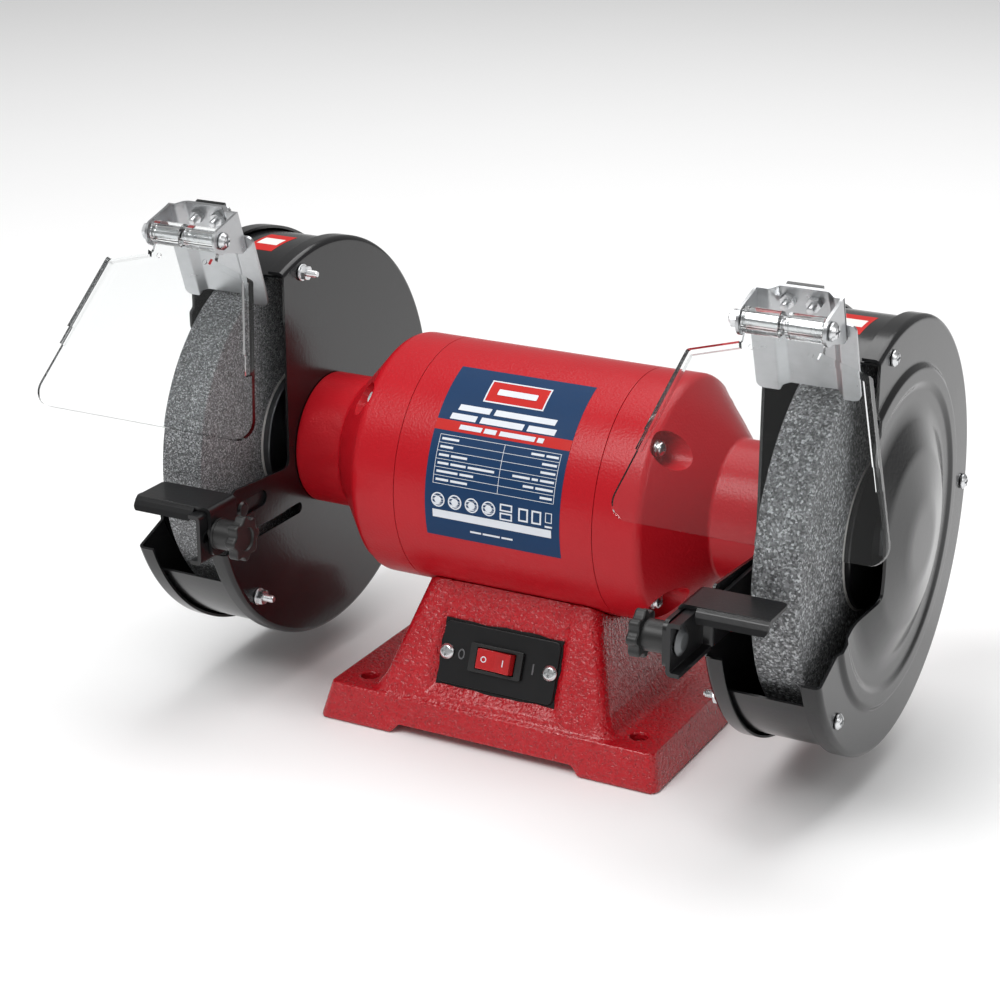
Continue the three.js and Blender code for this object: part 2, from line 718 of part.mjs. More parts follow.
// A sheet whose centre is set back: x edges of the centre, thickness and height range.
function stepped_sheet(x0, x1, c0, c1, front, low, high) {
  const back = front - SHEET;
  const drop = 4;
  const outline = [
    [x0, front], [c0 - 4, front], [c0, front - drop],
    [c1, front - drop], [c1 + 4, front], [x1, front],
    [x1, back], [c1 + 3.4, back], [c1 - 0.6, back - drop],
    [c0 + 0.6, back - drop], [c0 - 3.4, back], [x0, back],
  ];
  const shape = new THREE.Shape(outline.map(([x, w]) => new THREE.Vector2(x, -w)));
  const geometry = new THREE.ExtrudeGeometry(shape, { depth: high - low, bevelEnabled: false });
  geometry.translate(0, 0, low);
  return solid(geometry);
}

const UNIT_SCREWS = [WHEEL_CENTRE_X - 6.5, WHEEL_CENTRE_X + 6.5];

// What a rounded corner takes off a sheet: the corner's x and height, and which way the sheet lies from it.
function outer_corner(x, v, towardX, towardV) {
  const radius = 3.5;
  const outline = [[-1, -1], [radius, -1], [radius, radius], [-1, radius]];
  const square = hull(
    outline.flatMap(([i, j]) => [-10, 10].map((y) => [x + towardX * i, y, v + towardV * j])),
  );
  return cut(square, bar_y(radius, -15, 15, x + towardX * radius, v + towardV * radius, 16));
}

function spark_arrester(side) {
  const inner = 144.6;
  const outer = 197.3;
  const low = -46;
  const wing = -2.7;
  const sheet = stepped_sheet(inner, outer, 160.5, 184.5, 0, low, 12);
  const wing_trim = [box(140, 157, -20, 20, wing, 20), box(188, 205, -20, 20, wing, 20)];
  const corners = [
    outer_corner(inner, low, 1, 1), outer_corner(outer, low, -1, 1),
    outer_corner(inner, wing, 1, -1), outer_corner(outer, wing, -1, -1),
  ];
  const slots = UNIT_SCREWS.map((x) => box(x - 2.4, x + 2.4, -20, 20, 1.3, 10.7));
  const relief = box(157, 188, -20, 20, -50, -43.6);
  return on_unit(side, cut(sheet, relief, ...wing_trim, ...corners, ...slots));
}

function shield_bracket(side) {
  const front = GAP + SHEET;
  const sheet = stepped_sheet(149, 193, 160.5, 184.5, front, -10, 13);
  const holes = UNIT_SCREWS.map((x) => bar_y(2.4, -15, 15, x, 6, 12));
  const plate = on_unit(side, cut(sheet, ...holes));
  const outline = [
    unit_point(side, front - 1, 13), unit_point(side, front + 3, 13),
    ...circle(side.hingeY, side.hingeZ, 7.4, 8, 120, 290),
    unit_point(side, front + 3, -10), unit_point(side, front - 1, -10),
  ];
  const hole = circle(side.hingeY, side.hingeZ, 2.9, 12);
  const near = plate_x(outline, 149, 150.5, [hole]);
  const far = plate_x(outline, 191.5, 193, [hole]);
  return join(plate, near, far);
}

const SHIELD_BEHIND = 2.25;
const SHIELD_THICK = 3;

// Places a solid built in (x about the wheel centre, w as -y, -s as z) on the shield's plane.
function on_shield(side, shape) {
  return shape.rotate([-side.shieldTilt, 0, 0]).translate([WHEEL_CENTRE_X, side.hingeY, side.hingeZ]);
}

function eye_shield(side) {
  const half = [
    [19.8, 6], [19.8, 10.7], [44.4, 17.7], [67.7, 89.7], [67.7, 95.3], [64.4, 99.8], [59.1, 101.5],
  ];
  const outline = [...half.map(([x, s]) => [x, -s]), ...[...half].reverse().map(([x, s]) => [-x, -s])];
  const back = SHIELD_BEHIND + SHIELD_THICK / 2;
  const sheet = plate_y(outline, back - SHIELD_THICK, back);
  const ribs = [];
  for (const sign of [1, -1]) {
    const line = [[19.8, 10.7], [44.4, 17.7], [60.4, 67.5]];
    const inner = [[19, 13.7], [42, 20.2], [57.5, 68.5]];
    for (const i of [0, 1]) {
      const points = [];
      for (const [x, s] of [line[i], line[i + 1], inner[i], inner[i + 1]]) {
        points.push([sign * x, back - SHIELD_THICK - 3.6, -s], [sign * x, back - 1, -s]);
      }
      ribs.push(hull(points));
    }
  }
  const barrels = [[-19.9, -1.6], [1.6, 19.9]].map(([from, to]) => bar_x(6.3, from, to, 0, 0, 16));
  const web = box(-19.8, 19.8, back - SHIELD_THICK, back, -8, -4.5);
  const bore = bar_x(2.9, -30, 30, 0, 0, 10);
  return on_shield(side, cut(join(sheet, web, ...ribs, ...barrels), bore));
}

// The head of the pivot bolt is at the +X end on both sides of the machine.
function pivot_bolt(side) {
  const y = side.hingeY;
  const z = side.hingeZ;
  const low = side.hand > 0 ? 149 : -193;
  const high = side.hand > 0 ? 193 : -149;
  const shank = bar_x(2.5, low - 5.5, high + 1, y, z, 10);
  const head = bar_x(4.6, high + GAP, high + 3.6, y, z, 12);
  const nut = bar_x(4.6, low - 4.3, low - GAP, y, z, 6);
  return join(shank, head, nut);
}

// ---------------------------------------------------------------- assembly

function one_end(side) {
  const group = new THREE.Group();
  const add = (name, shape, finish) => group.add(sub_part(name + "_" + side.name, shape, finish));
  add("end_bell", end_bell(), RED);
  add("winding", winding(), COPPER);
  add("bearing", bearing(), BRIGHT_STEEL);
  add("grinding_wheel", grinding_wheel(), GRIT);
  add("inner_flange", inner_flange(), DARK_STEEL);
  add("outer_flange", outer_flange(), BLACK_SATIN);
  add("spindle_nut", spindle_nut(), DARK_STEEL);
  add("guard_inner_pan", guard_inner_pan(), BLACK_GLOSS);
  add("guard_band", guard_band(side), BLACK_GLOSS);
  add("guard_outer_cover", guard_outer_cover(), BLACK_GLOSS);
  COVER_SCREW_ANGLES.forEach((angle, i) => {
    group.add(sub_part("cover_screw_" + side.name + "_" + (i + 1), cover_screw(angle), ZINC));
  });
  add("tool_rest_arm", tool_rest_arm(side), BLACK_SATIN);
  add("tool_rest", tool_rest(side), BLACK_SATIN);
  add("rest_bolt", rest_bolt(side), ZINC);
  add("tool_rest_knob", tool_rest_knob(side), BLACK_PLASTIC);
  add("spark_arrester", spark_arrester(side), ZINC);
  add("shield_bracket", shield_bracket(side), ZINC);
  add("eye_shield", eye_shield(side), CLEAR);
  group.scale.x = side.hand;
  return group;
}

function grinder() {
  const machine = new THREE.Group();
  machine.add(
    sub_part("base_casting", base_casting(), RED),
    sub_part("bottom_cover", bottom_cover(), ZINC),
    sub_part("switch_plate", switch_plate(), BLACK_SATIN),
    sub_part("switch_housing", switch_housing(), BLACK_PLASTIC),
    sub_part("switch_rocker", switch_rocker(), RED_PLASTIC),
    sub_part("switch_plate_screw_left", switch_plate_screw(-31), BRIGHT_STEEL),
    sub_part("switch_plate_screw_right", switch_plate_screw(31), BRIGHT_STEEL),
    sub_part("capacitor", capacitor(), BLACK_PLASTIC),
    sub_part("cable_gland", cable_gland(), BLACK_PLASTIC),
    sub_part("motor_shell", motor_shell(), RED),
    sub_part("stator_core", stator_core(), DARK_STEEL),
    sub_part("spindle_shaft", spindle_shaft(), BRIGHT_STEEL),
    sub_part("rotor_core", rotor_core(), DARK_STEEL),
  );
  [45, 135, 225, 315].forEach((angle, i) => {
    machine.add(sub_part("tie_bolt_" + (i + 1), tie_bolt(angle), DARK_STEEL));
  });
  for (const side of [SIDES.left, SIDES.right]) {
    machine.add(one_end(side));
    machine.add(sub_part("pivot_bolt_" + side.name, pivot_bolt(side), ZINC));
  }
  machine.position.y = SPINDLE_Y;
  const part = new THREE.Group();
  part.add(machine);
  return part;
}

export default grinder();
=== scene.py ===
"""Looks for the bench grinder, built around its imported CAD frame. Lengths in the code are millimetres."""

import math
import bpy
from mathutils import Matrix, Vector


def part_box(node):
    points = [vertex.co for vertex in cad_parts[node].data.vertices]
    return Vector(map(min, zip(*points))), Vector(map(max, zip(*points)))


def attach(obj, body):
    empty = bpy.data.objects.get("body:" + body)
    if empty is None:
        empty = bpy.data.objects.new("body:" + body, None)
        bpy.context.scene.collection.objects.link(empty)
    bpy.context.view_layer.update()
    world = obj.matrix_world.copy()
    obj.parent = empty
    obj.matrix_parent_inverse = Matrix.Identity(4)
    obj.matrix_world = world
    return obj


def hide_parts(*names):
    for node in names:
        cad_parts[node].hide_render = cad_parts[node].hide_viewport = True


bl_info = {
    "name": "Bench Grinder",
    "version": (1, 0, 0),
    "blender": (4, 5, 0),
    "location": "View3D > Sidebar > Bench Grinder",
    "description": "Builds the castings, guards, wheels, rests, shields and finishes of a bench grinder",
    "category": "Object",
}

import bmesh
import bpy
from mathutils import Matrix, Vector

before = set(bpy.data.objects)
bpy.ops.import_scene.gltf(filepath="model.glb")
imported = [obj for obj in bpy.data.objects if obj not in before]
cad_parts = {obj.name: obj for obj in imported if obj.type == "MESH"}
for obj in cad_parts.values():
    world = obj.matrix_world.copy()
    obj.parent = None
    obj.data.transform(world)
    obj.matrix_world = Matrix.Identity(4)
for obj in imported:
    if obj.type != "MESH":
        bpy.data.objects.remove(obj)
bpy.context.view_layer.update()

MM = 0.001
SIDES = 144
SHEET = 1.5


# ---------------------------------------------------------------- places taken from the frame


def low(node):
    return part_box(node)[0] / MM


def high(node):
    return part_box(node)[1] / MM


def middle(node):
    return (low(node) + high(node)) / 2


AXIS = middle("spindle_shaft")
MOTOR_RADIUS = high("motor_shell").z - AXIS.z
SHELL_END = high("motor_shell").x
NECK_END = high("end_bell_right").x
GUARD_RADIUS = high("guard_inner_pan_right").z - AXIS.z
PAN_X = low("guard_inner_pan_right").x
LIP_WIDTH = high("guard_inner_pan_right").x - PAN_X
COVER_LIP_X = low("guard_outer_cover_right").x
COVER_X = COVER_LIP_X + LIP_WIDTH
COVER_TOP_X = high("guard_outer_cover_right").x
WHEEL_RADIUS = high("grinding_wheel_right").z - AXIS.z
WHEEL_IN = low("grinding_wheel_right").x
WHEEL_OUT = high("grinding_wheel_right").x
WHEEL_X = (WHEEL_IN + WHEEL_OUT) / 2
TIE_CIRCLE = MOTOR_RADIUS - 8.2
UNIT_STEP = (160.5, 184.5)
UNIT_SCREWS = (WHEEL_X - 6.5, WHEEL_X + 6.5)
GUARD_FRONT = AXIS.y - 43
REST_TOP = high("tool_rest_right").z
ARM_WEB_X = low("tool_rest_arm_right").x
ARM_TOP = high("tool_rest_arm_right").z
ARM_LOW = low("tool_rest_arm_right").z


class End:
    """What differs between the machine's two ends."""

    def __init__(self, name, hand):
        self.name = name
        self.hand = hand
        self.pivot = middle("pivot_bolt_" + name)
        self.stud = middle("rest_bolt_" + name)
        self.arm_front = low("tool_rest_arm_" + name).y
        self.leg_front = low("tool_rest_" + name).y
        self.slot_front = self.stud.y - (8.4 if hand > 0 else 10.4)
        self.shield_tilt = math.radians(25.5 if hand > 0 else 31)

    def node(self, base):
        return base + "_" + self.name


ENDS = (End("left", -1), End("right", 1))


# ---------------------------------------------------------------- settings


def colour_prop(name, description, default):
    return bpy.props.FloatVectorProperty(
        name=name, description=description, default=default, size=3, min=0, max=1, subtype="COLOR"
    )


class GRINDER_PG_sizes(bpy.types.PropertyGroup):
    sheet_bend: bpy.props.FloatProperty(
        name="Sheet bend", description="Inside radius of the bends in the sheet parts",
        default=0.0016, min=0.0005, max=0.004, unit="LENGTH",
    )
    cast_grain: bpy.props.FloatProperty(
        name="Casting voxel", description="Fineness of the mesh that rounds the cast base",
        default=0.0009, min=0.0006, max=0.004, unit="LENGTH",
    )
    wheel_edge: bpy.props.FloatProperty(
        name="Wheel edge", description="Dressed radius on the rim of each wheel",
        default=0.0012, min=0.0002, max=0.003, unit="LENGTH",
    )


class GRINDER_PG_colours(bpy.types.PropertyGroup):
    enamel: colour_prop("Enamel", "Red enamel of the base and motor", (0.46, 0.007, 0.014))
    guard: colour_prop("Guards", "Black enamel of the guards", (0.0062, 0.0062, 0.0068))
    grit: colour_prop("Wheels", "Grey abrasive of the wheels", (0.215, 0.22, 0.225))
    label: colour_prop("Label field", "Dark blue field of the label", (0.006, 0.036, 0.105))
    stripe: colour_prop("Label stripe", "Red stripe of the label", (0.52, 0.016, 0.013))


class GRINDER_PG_stage(bpy.types.PropertyGroup):
    azimuth: bpy.props.FloatProperty(
        name="Azimuth", description="Camera angle round the machine from straight in front",
        default=math.radians(27.778), subtype="ANGLE",
    )
    elevation: bpy.props.FloatProperty(
        name="Elevation", description="Camera angle above the bench",
        default=math.radians(20.659), subtype="ANGLE",
    )
    distance: bpy.props.FloatProperty(
        name="Distance", description="Camera distance from the point it looks at", default=1.3245, unit="LENGTH"
    )
    lens: bpy.props.FloatProperty(
        name="Lens", description="Focal length on a 36 mm wide sensor, in millimetres", default=86.67, min=20
    )
    light: bpy.props.FloatProperty(
        name="Light", description="Brightness of the studio lamps", default=1.0, min=0
    )


# ---------------------------------------------------------------- mesh tools


def make(name, bm, hand=1):
    """An object from a bmesh in millimetres; hand -1 mirrors it to the machine's left end."""
    if hand < 0:
        bmesh.ops.scale(bm, vec=(-1, 1, 1), verts=bm.verts)
    bmesh.ops.recalc_face_normals(bm, faces=bm.faces)
    mesh = bpy.data.meshes.new(name)
    bm.to_mesh(mesh)
    bm.free()
    mesh.transform(Matrix.Scale(MM, 4))
    obj = bpy.data.objects.new(name, mesh)
    bpy.context.scene.collection.objects.link(obj)
    return obj


def bake(obj):
    """Replaces the object's mesh by what its modifiers make of it."""
    depsgraph = bpy.context.evaluated_depsgraph_get()
    mesh = bpy.data.meshes.new_from_object(obj.evaluated_get(depsgraph))
    old = obj.data
    obj.modifiers.clear()
    obj.data = mesh
    bpy.data.meshes.remove(old)
    return obj


def combine(obj, tools, operation):
    for tool in tools:
        modifier = obj.modifiers.new(operation, "BOOLEAN")
        modifier.operation = operation
        modifier.solver = "EXACT"
        modifier.object = tool
    bake(obj)
    for tool in tools:
        mesh = tool.data
        bpy.data.objects.remove(tool)
        bpy.data.meshes.remove(mesh)
    return obj


def cut(obj, *tools):
    return combine(obj, tools, "DIFFERENCE")


def join(obj, *tools):
    return combine(obj, tools, "UNION")


def soften(obj, width, segments=2, angle=32):
    """Rounds the sharp edges by a width in millimetres."""
    modifier = obj.modifiers.new("soften", "BEVEL")
    modifier.width = width * MM
    modifier.segments = segments
    modifier.limit_method = "ANGLE"
    modifier.angle_limit = math.radians(angle)
    modifier.use_clamp_overlap = True
    return bake(obj)


def smooth(obj, angle=35):
    """Shades the piece smooth, with flat faces kept flat right up to their rounded edges."""
    obj.data.shade_smooth()
    obj.data.set_sharp_from_angle(angle=math.radians(angle))
    if angle < 90:
        modifier = obj.modifiers.new("normals", "WEIGHTED_NORMAL")
        modifier.keep_sharp = True
        modifier.weight = 100
        bake(obj)
    return obj


def rounded(points, closed=True, steps=4):
    """An outline whose points may carry a third value, the radius of their fillet."""
    made = []
    count = len(points)
    for i, point in enumerate(points):
        here = Vector(point[:2])
        radius = point[2] if len(point) > 2 else 0
        at_end = not closed and i in (0, count - 1)
        before = Vector(points[i - 1][:2]) - here
        after = Vector(points[(i + 1) % count][:2]) - here
        angle = before.angle(after)
        if radius <= 0 or at_end or angle > math.radians(179):
            made.append(tuple(here))
            continue
        reach = min(radius / math.tan(angle / 2), 0.49 * before.length, 0.49 * after.length)
        radius = reach * math.tan(angle / 2)
        before.normalize()
        after.normalize()
        centre = here + (before + after).normalized() * (radius / math.sin(angle / 2))
        first = here + before * reach - centre
        last = here + after * reach - centre
        start = math.atan2(first.y, first.x)
        sweep = (math.atan2(last.y, last.x) - start + math.pi) % (2 * math.pi) - math.pi
        for step in range(steps + 1):
            turn = start + sweep * step / steps
            made.append((centre.x + radius * math.cos(turn), centre.y + radius * math.sin(turn)))
    return made


def circle(u, v, radius, sides=24, start=0.0, end=360.0):
    full = abs(end - start - 360) < 1e-6
    count = sides if full else sides + 1
    angles = [math.radians(start + (end - start) * i / sides) for i in range(count)]
    return [(u + radius * math.cos(a), v + radius * math.sin(a)) for a in angles]


def slot(u0, u1, v, radius):
    return circle(u1 - radius, v, radius, 10, -90, 90) + circle(u0 + radius, v, radius, 10, 90, 270)


def about_spindle(radius, angle):
    """(y, z) on a circle about the spindle; the angle runs from the front up over the top."""
    turn = math.radians(angle)
    return (AXIS.y - radius * math.cos(turn), AXIS.z + radius * math.sin(turn))


def turned_mesh(profile, sides=SIDES, centre=None, closed=True):
    """A body turned about a line along X: profile points are (radius, x) in order round the section."""
    cy, cz = centre or (AXIS.y, AXIS.z)
    bm = bmesh.new()
    rings = []
    for radius, x in profile:
        if radius < 1e-6:
            rings.append([bm.verts.new((x, cy, cz))])
            continue
        turns = [2 * math.pi * i / sides for i in range(sides)]
        rings.append([bm.verts.new((x, cy + radius * math.cos(t), cz + radius * math.sin(t))) for t in turns])
    pairs = list(zip(rings, rings[1:]))
    if closed:
        pairs.append((rings[-1], rings[0]))
    for a, b in pairs:
        if len(a) == 1 and len(b) == 1:
            continue
        for i in range(sides):
            j = (i + 1) % sides
            corners = [a[i % len(a)], a[j % len(a)], b[j % len(b)], b[i % len(b)]]
            unique = [v for k, v in enumerate(corners) if v not in corners[:k]]
            bm.faces.new(unique)
    return bm


def prism_mesh(outline, start, end, axis="X"):
    """A straight prism. The outline is in (y, z) along X, in (x, z) along Y, or in (x, y) along Z."""
    place = {
        "X": lambda u, v, w: (w, u, v),
        "Y": lambda u, v, w: (u, w, v),
        "Z": lambda u, v, w: (u, v, w),
    }[axis]
    bm = bmesh.new()
    near = [bm.verts.new(place(u, v, start)) for u, v in outline]
    far = [bm.verts.new(place(u, v, end)) for u, v in outline]
    bm.faces.new(near)
    bm.faces.new(far)
    for i in range(len(outline)):
        j = (i + 1) % len(outline)
        bm.faces.new([near[i], near[j], far[j], far[i]])
    return bm


def prism(name, outline, start, end, axis="X", hand=1):
    return make(name, prism_mesh(outline, start, end, axis), hand)


def turned(name, profile, hand=1, sides=SIDES, centre=None):
    return make(name, turned_mesh(profile, sides, centre), hand)


def rod(name, radius, start, end, centre, hand=1, sides=32):
    return turned(name, [(0, start), (radius, start), (radius, end), (0, end)], hand, sides, centre)


def strip(line, thickness, bend, steps=6):
    """The closed section of a bent sheet: the line is its one face, its other face lies to the line's left."""
    path = [(*p, bend) for p in line]
    near = [Vector(p) for p in rounded(path, closed=False, steps=steps)]
    far = []
    for i, point in enumerate(near):
        first = (point - near[max(i - 1, 0)]).normalized() if i else (near[1] - point).normalized()
        second = (near[min(i + 1, len(near) - 1)] - point).normalized() if i < len(near) - 1 else first
        mean = (first + second).normalized()
        reach = thickness / max(mean.dot(first), 0.3)
        far.append((point.x - mean.y * reach, point.y + mean.x * reach))
    return [tuple(p) for p in near] + far[::-1]


def tilted(obj, turn_x, move):
    """Turns a piece about X by an angle in radians and then moves it, in millimetres."""
    obj.data.transform(Matrix.Translation(Vector(move) * MM) @ Matrix.Rotation(turn_x, 4, "X"))
    return obj


def settle(obj, body, material, replaces=(), angle=35):
    """Finishes a piece: shading, material, body and the CAD nodes that it stands for."""
    smooth(obj, angle)
    obj.data.materials.clear()
    obj.data.materials.append(material)
    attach(obj, body)
    if replaces:
        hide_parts(*replaces)
    return obj


# ---------------------------------------------------------------- shared shader groups


def group_with(name, inputs, outputs):
    tree = bpy.data.node_groups.new(name, "ShaderNodeTree")
    for label, kind, default in inputs:
        socket = tree.interface.new_socket(name=label, in_out="INPUT", socket_type=kind)
        socket.default_value = default
    for label, kind in outputs:
        tree.interface.new_socket(name=label, in_out="OUTPUT", socket_type=kind)
    return tree, tree.nodes.new("NodeGroupInput"), tree.nodes.new("NodeGroupOutput")


def add(tree, kind, links=(), **values):
    """A node with its sockets set or linked: links are (input name or number, output socket)."""
    node = tree.nodes.new(kind)
    for key, value in values.items():
        setattr(node, key, value)
    for key, source in links:
        if isinstance(source, (int, float, tuple)):
            node.inputs[key].default_value = source
        else:
            tree.links.new(source, node.inputs[key])
    return node


def ramp(tree, source, stops):
    node = add(tree, "ShaderNodeValToRGB", [(0, source)])
    elements = node.color_ramp.elements
    while len(elements) > len(stops):
        elements.remove(elements[-1])
    while len(elements) < len(stops):
        elements.new(1)
    for element, (position, value) in zip(elements, stops):
        element.position = position
        element.color = (*value, 1) if isinstance(value, tuple) else (value, value, value, 1)
    return node.outputs["Color"]


def mottle_group():
    """Soft cloudy variation between 0 and 1."""
    tree, given, out = group_with(
        "Soft Mottle",
        [("Scale", "NodeSocketFloat", 60), ("Contrast", "NodeSocketFloat", 1.5)],
        [("Mask", "NodeSocketFloat")],
    )
    place = add(tree, "ShaderNodeTexCoord")
    noise = add(
        tree, "ShaderNodeTexNoise",
        [
            ("Vector", place.outputs["Object"]), ("Scale", given.outputs["Scale"]), ("Detail", 5.0),
            ("Roughness", 0.6),
        ],
    )
    centred = add(tree, "ShaderNodeMath", [(0, noise.outputs["Fac"]), (1, 0.5)], operation="SUBTRACT")
    spread = add(
        tree, "ShaderNodeMath", [(0, centred.outputs[0]), (1, given.outputs["Contrast"])], operation="MULTIPLY"
    )
    back = add(tree, "ShaderNodeMath", [(0, spread.outputs[0]), (1, 0.5)], operation="ADD", use_clamp=True)
    tree.links.new(back.outputs[0], out.inputs["Mask"])
    return tree


def peel_group():
    """Fine waviness of sprayed enamel, as a height."""
    tree, given, out = group_with(
        "Orange Peel", [("Scale", "NodeSocketFloat", 500)], [("Height", "NodeSocketFloat")]
    )
    place = add(tree, "ShaderNodeTexCoord")
    noise = add(
        tree, "ShaderNodeTexNoise",
        [
            ("Vector", place.outputs["Object"]), ("Scale", given.outputs["Scale"]), ("Detail", 1.5),
            ("Roughness", 0.4),
        ],
    )
    tree.links.new(noise.outputs["Fac"], out.inputs["Height"])
    return tree


def dust_group():
    """Grinding dust that has settled on faces that look up."""
    tree, given, out = group_with(
        "Settled Dust", [("Amount", "NodeSocketFloat", 0.2)], [("Mask", "NodeSocketFloat")]
    )
    place = add(tree, "ShaderNodeTexCoord")
    shape = add(tree, "ShaderNodeNewGeometry")
    up = add(tree, "ShaderNodeSeparateXYZ", [(0, shape.outputs["Normal"])])
    facing = add(
        tree, "ShaderNodeMapRange", [(0, up.outputs["Z"]), (1, 0.35), (2, 1.0), (3, 0.0), (4, 1.0)]
    )
    noise = add(
        tree, "ShaderNodeTexNoise",
        [("Vector", place.outputs["Object"]), ("Scale", 900.0), ("Detail", 4.0), ("Roughness", 0.7)],
    )
    specks = add(tree, "ShaderNodeMapRange", [(0, noise.outputs["Fac"]), (1, 0.45), (2, 0.7), (3, 0.0), (4, 1.0)])
    both = add(tree, "ShaderNodeMath", [(0, facing.outputs[0]), (1, specks.outputs[0])], operation="MULTIPLY")
    scaled = add(
        tree, "ShaderNodeMath", [(0, both.outputs[0]), (1, given.outputs["Amount"])], operation="MULTIPLY"
    )
    tree.links.new(scaled.outputs[0], out.inputs["Mask"])
    return tree


def scratch_group():
    """Fine brushed lines along X as a mask, stretched by the length given."""
    tree, given, out = group_with(
        "Brushed Lines",
        [("Scale", "NodeSocketFloat", 900), ("Stretch", "NodeSocketFloat", 0.06)],
        [("Mask", "NodeSocketFloat")],
    )
    place = add(tree, "ShaderNodeTexCoord")
    parts = add(tree, "ShaderNodeSeparateXYZ", [(0, place.outputs["Object"])])
    squeezed = add(
        tree, "ShaderNodeMath", [(0, parts.outputs["X"]), (1, given.outputs["Stretch"])], operation="MULTIPLY"
    )
    joined = add(
        tree, "ShaderNodeCombineXYZ", [(0, squeezed.outputs[0]), (1, parts.outputs["Y"]), (2, parts.outputs["Z"])]
    )
    noise = add(
        tree, "ShaderNodeTexNoise",
        [("Vector", joined.outputs[0]), ("Scale", given.outputs["Scale"]), ("Detail", 3.0), ("Roughness", 0.7)],
    )
    tree.links.new(noise.outputs["Fac"], out.inputs["Mask"])
    return tree


GROUPS = {}


def shared(tree, name, **values):
    """A shared group placed in a material with its own values."""
    makers = {"mottle": mottle_group, "peel": peel_group, "dust": dust_group, "scratch": scratch_group}
    if name not in GROUPS:
        GROUPS[name] = makers[name]()
    node = tree.nodes.new("ShaderNodeGroup")
    node.node_tree = GROUPS[name]
    for key, value in values.items():
        node.inputs[key.capitalize()].default_value = value
    return node.outputs[0]


def blend_colours(tree, factor, a, b, mode="MIX"):
    node = tree.nodes.new("ShaderNodeMix")
    node.data_type = "RGBA"
    node.blend_type = mode
    for key, value in ((0, factor), (6, a), (7, b)):
        if isinstance(value, (int, float)):
            node.inputs[key].default_value = value
        elif isinstance(value, tuple):
            node.inputs[key].default_value = (*value, 1)
        else:
            tree.links.new(value, node.inputs[key])
    return node.outputs[2]


def span(tree, source, start, end):
    """A value between 0 and 1 spread over another range."""
    return add(tree, "ShaderNodeMapRange", [(0, source), (1, 0.0), (2, 1.0), (3, start), (4, end)]).outputs[0]


def bump(tree, height, distance, strength=1.0, normal=None):
    node = add(tree, "ShaderNodeBump", [("Height", height), ("Strength", strength), ("Distance", distance * MM)])
    if normal is not None:
        tree.links.new(normal, node.inputs["Normal"])
    return node.outputs[0]


def new_material(name, **values):
    """A material and its tree and shader; plain values are set on the shader's sockets."""
    material = bpy.data.materials.new(name)
    material.use_nodes = True
    shader = material.node_tree.nodes["Principled BSDF"]
    for key, value in values.items():
        shader.inputs[key.replace("_", " ").title().replace("Ior", "IOR")].default_value = value
    return material, material.node_tree, shader


def shade(colour, factor):
    return tuple(min(1.0, c * factor) for c in colour)


# ---------------------------------------------------------------- finishes


def hammered_enamel(colours):
    """Thick red enamel over the hammered skin of the casting, with painted shade in the hollows of the dents."""
    material, tree, shader = new_material("hammered_enamel", coat_weight=0.25, coat_roughness=0.08)
    place = add(tree, "ShaderNodeTexCoord")
    wander = add(
        tree, "ShaderNodeTexNoise", [("Vector", place.outputs["Object"]), ("Scale", 210.0), ("Detail", 2.0)]
    )
    shifted = add(
        tree, "ShaderNodeVectorMath", [(0, wander.outputs["Color"]), (1, (0.005, 0.005, 0.005))],
        operation="MULTIPLY",
    )
    moved = add(tree, "ShaderNodeVectorMath", [(0, place.outputs["Object"]), (1, shifted.outputs[0])])
    cells = add(
        tree, "ShaderNodeTexVoronoi", [("Vector", moved.outputs[0]), ("Scale", 520.0)], feature="SMOOTH_F1"
    )
    ripple = add(
        tree, "ShaderNodeTexNoise",
        [("Vector", moved.outputs[0]), ("Scale", 640.0), ("Detail", 2.5), ("Roughness", 0.55)],
    )
    dents = ramp(tree, cells.outputs["Distance"], [(0.0, 0.0), (0.35, 0.6), (0.75, 1.0)])
    skin = blend_colours(tree, 0.5, dents, ripple.outputs["Fac"])
    mask = shared(tree, "mottle", scale=45, contrast=1.6)
    base = tuple(colours.enamel)
    tone = blend_colours(tree, mask, shade(base, 0.86), shade(base, 1.1))
    # Painted shade: the hollow at the middle of each dent is darkened to 0.62 of the enamel colour.
    dent_shade = ramp(tree, cells.outputs["Distance"], [(0.0, 1.0), (0.2, 0.4), (0.45, 0.0)])
    tone = blend_colours(tree, dent_shade, tone, shade(base, 0.62))
    tree.links.new(tone, shader.inputs["Base Color"])
    tree.links.new(span(tree, mask, 0.2, 0.3), shader.inputs["Roughness"])
    tree.links.new(bump(tree, skin, 1.1, 1.0), shader.inputs["Normal"])
    return material


def smooth_enamel(colours):
    """Sprayed red enamel with a little orange peel."""
    material, tree, shader = new_material(
        "smooth_enamel", specular_ior_level=0.24, coat_weight=0.05, coat_roughness=0.12
    )
    mask = shared(tree, "mottle", scale=30, contrast=1.3)
    base = tuple(colours.enamel)
    tree.links.new(blend_colours(tree, mask, shade(base, 0.93), shade(base, 1.05)), shader.inputs["Base Color"])
    fine = shared(tree, "peel", scale=780)
    tree.links.new(span(tree, mask, 0.26, 0.36), shader.inputs["Roughness"])
    tree.links.new(bump(tree, fine, 0.16, 0.9), shader.inputs["Normal"])
    return material


def black_enamel(colours, name, roughness, coat, dust):
    material, tree, shader = new_material(name, coat_weight=coat, coat_roughness=0.1, specular_ior_level=0.4)
    mask = shared(tree, "mottle", scale=25, contrast=1.4)
    base = tuple(colours.guard)
    tone = blend_colours(tree, mask, shade(base, 0.8), shade(base, 1.3))
    film = shared(tree, "dust", amount=dust)
    tone = blend_colours(tree, film, tone, (0.16, 0.16, 0.165))
    tree.links.new(tone, shader.inputs["Base Color"])
    tree.links.new(span(tree, mask, roughness * 0.85, roughness * 1.25), shader.inputs["Roughness"])
    fine = shared(tree, "peel", scale=450)
    tree.links.new(bump(tree, fine, 0.1, 0.4), shader.inputs["Normal"])
    return material


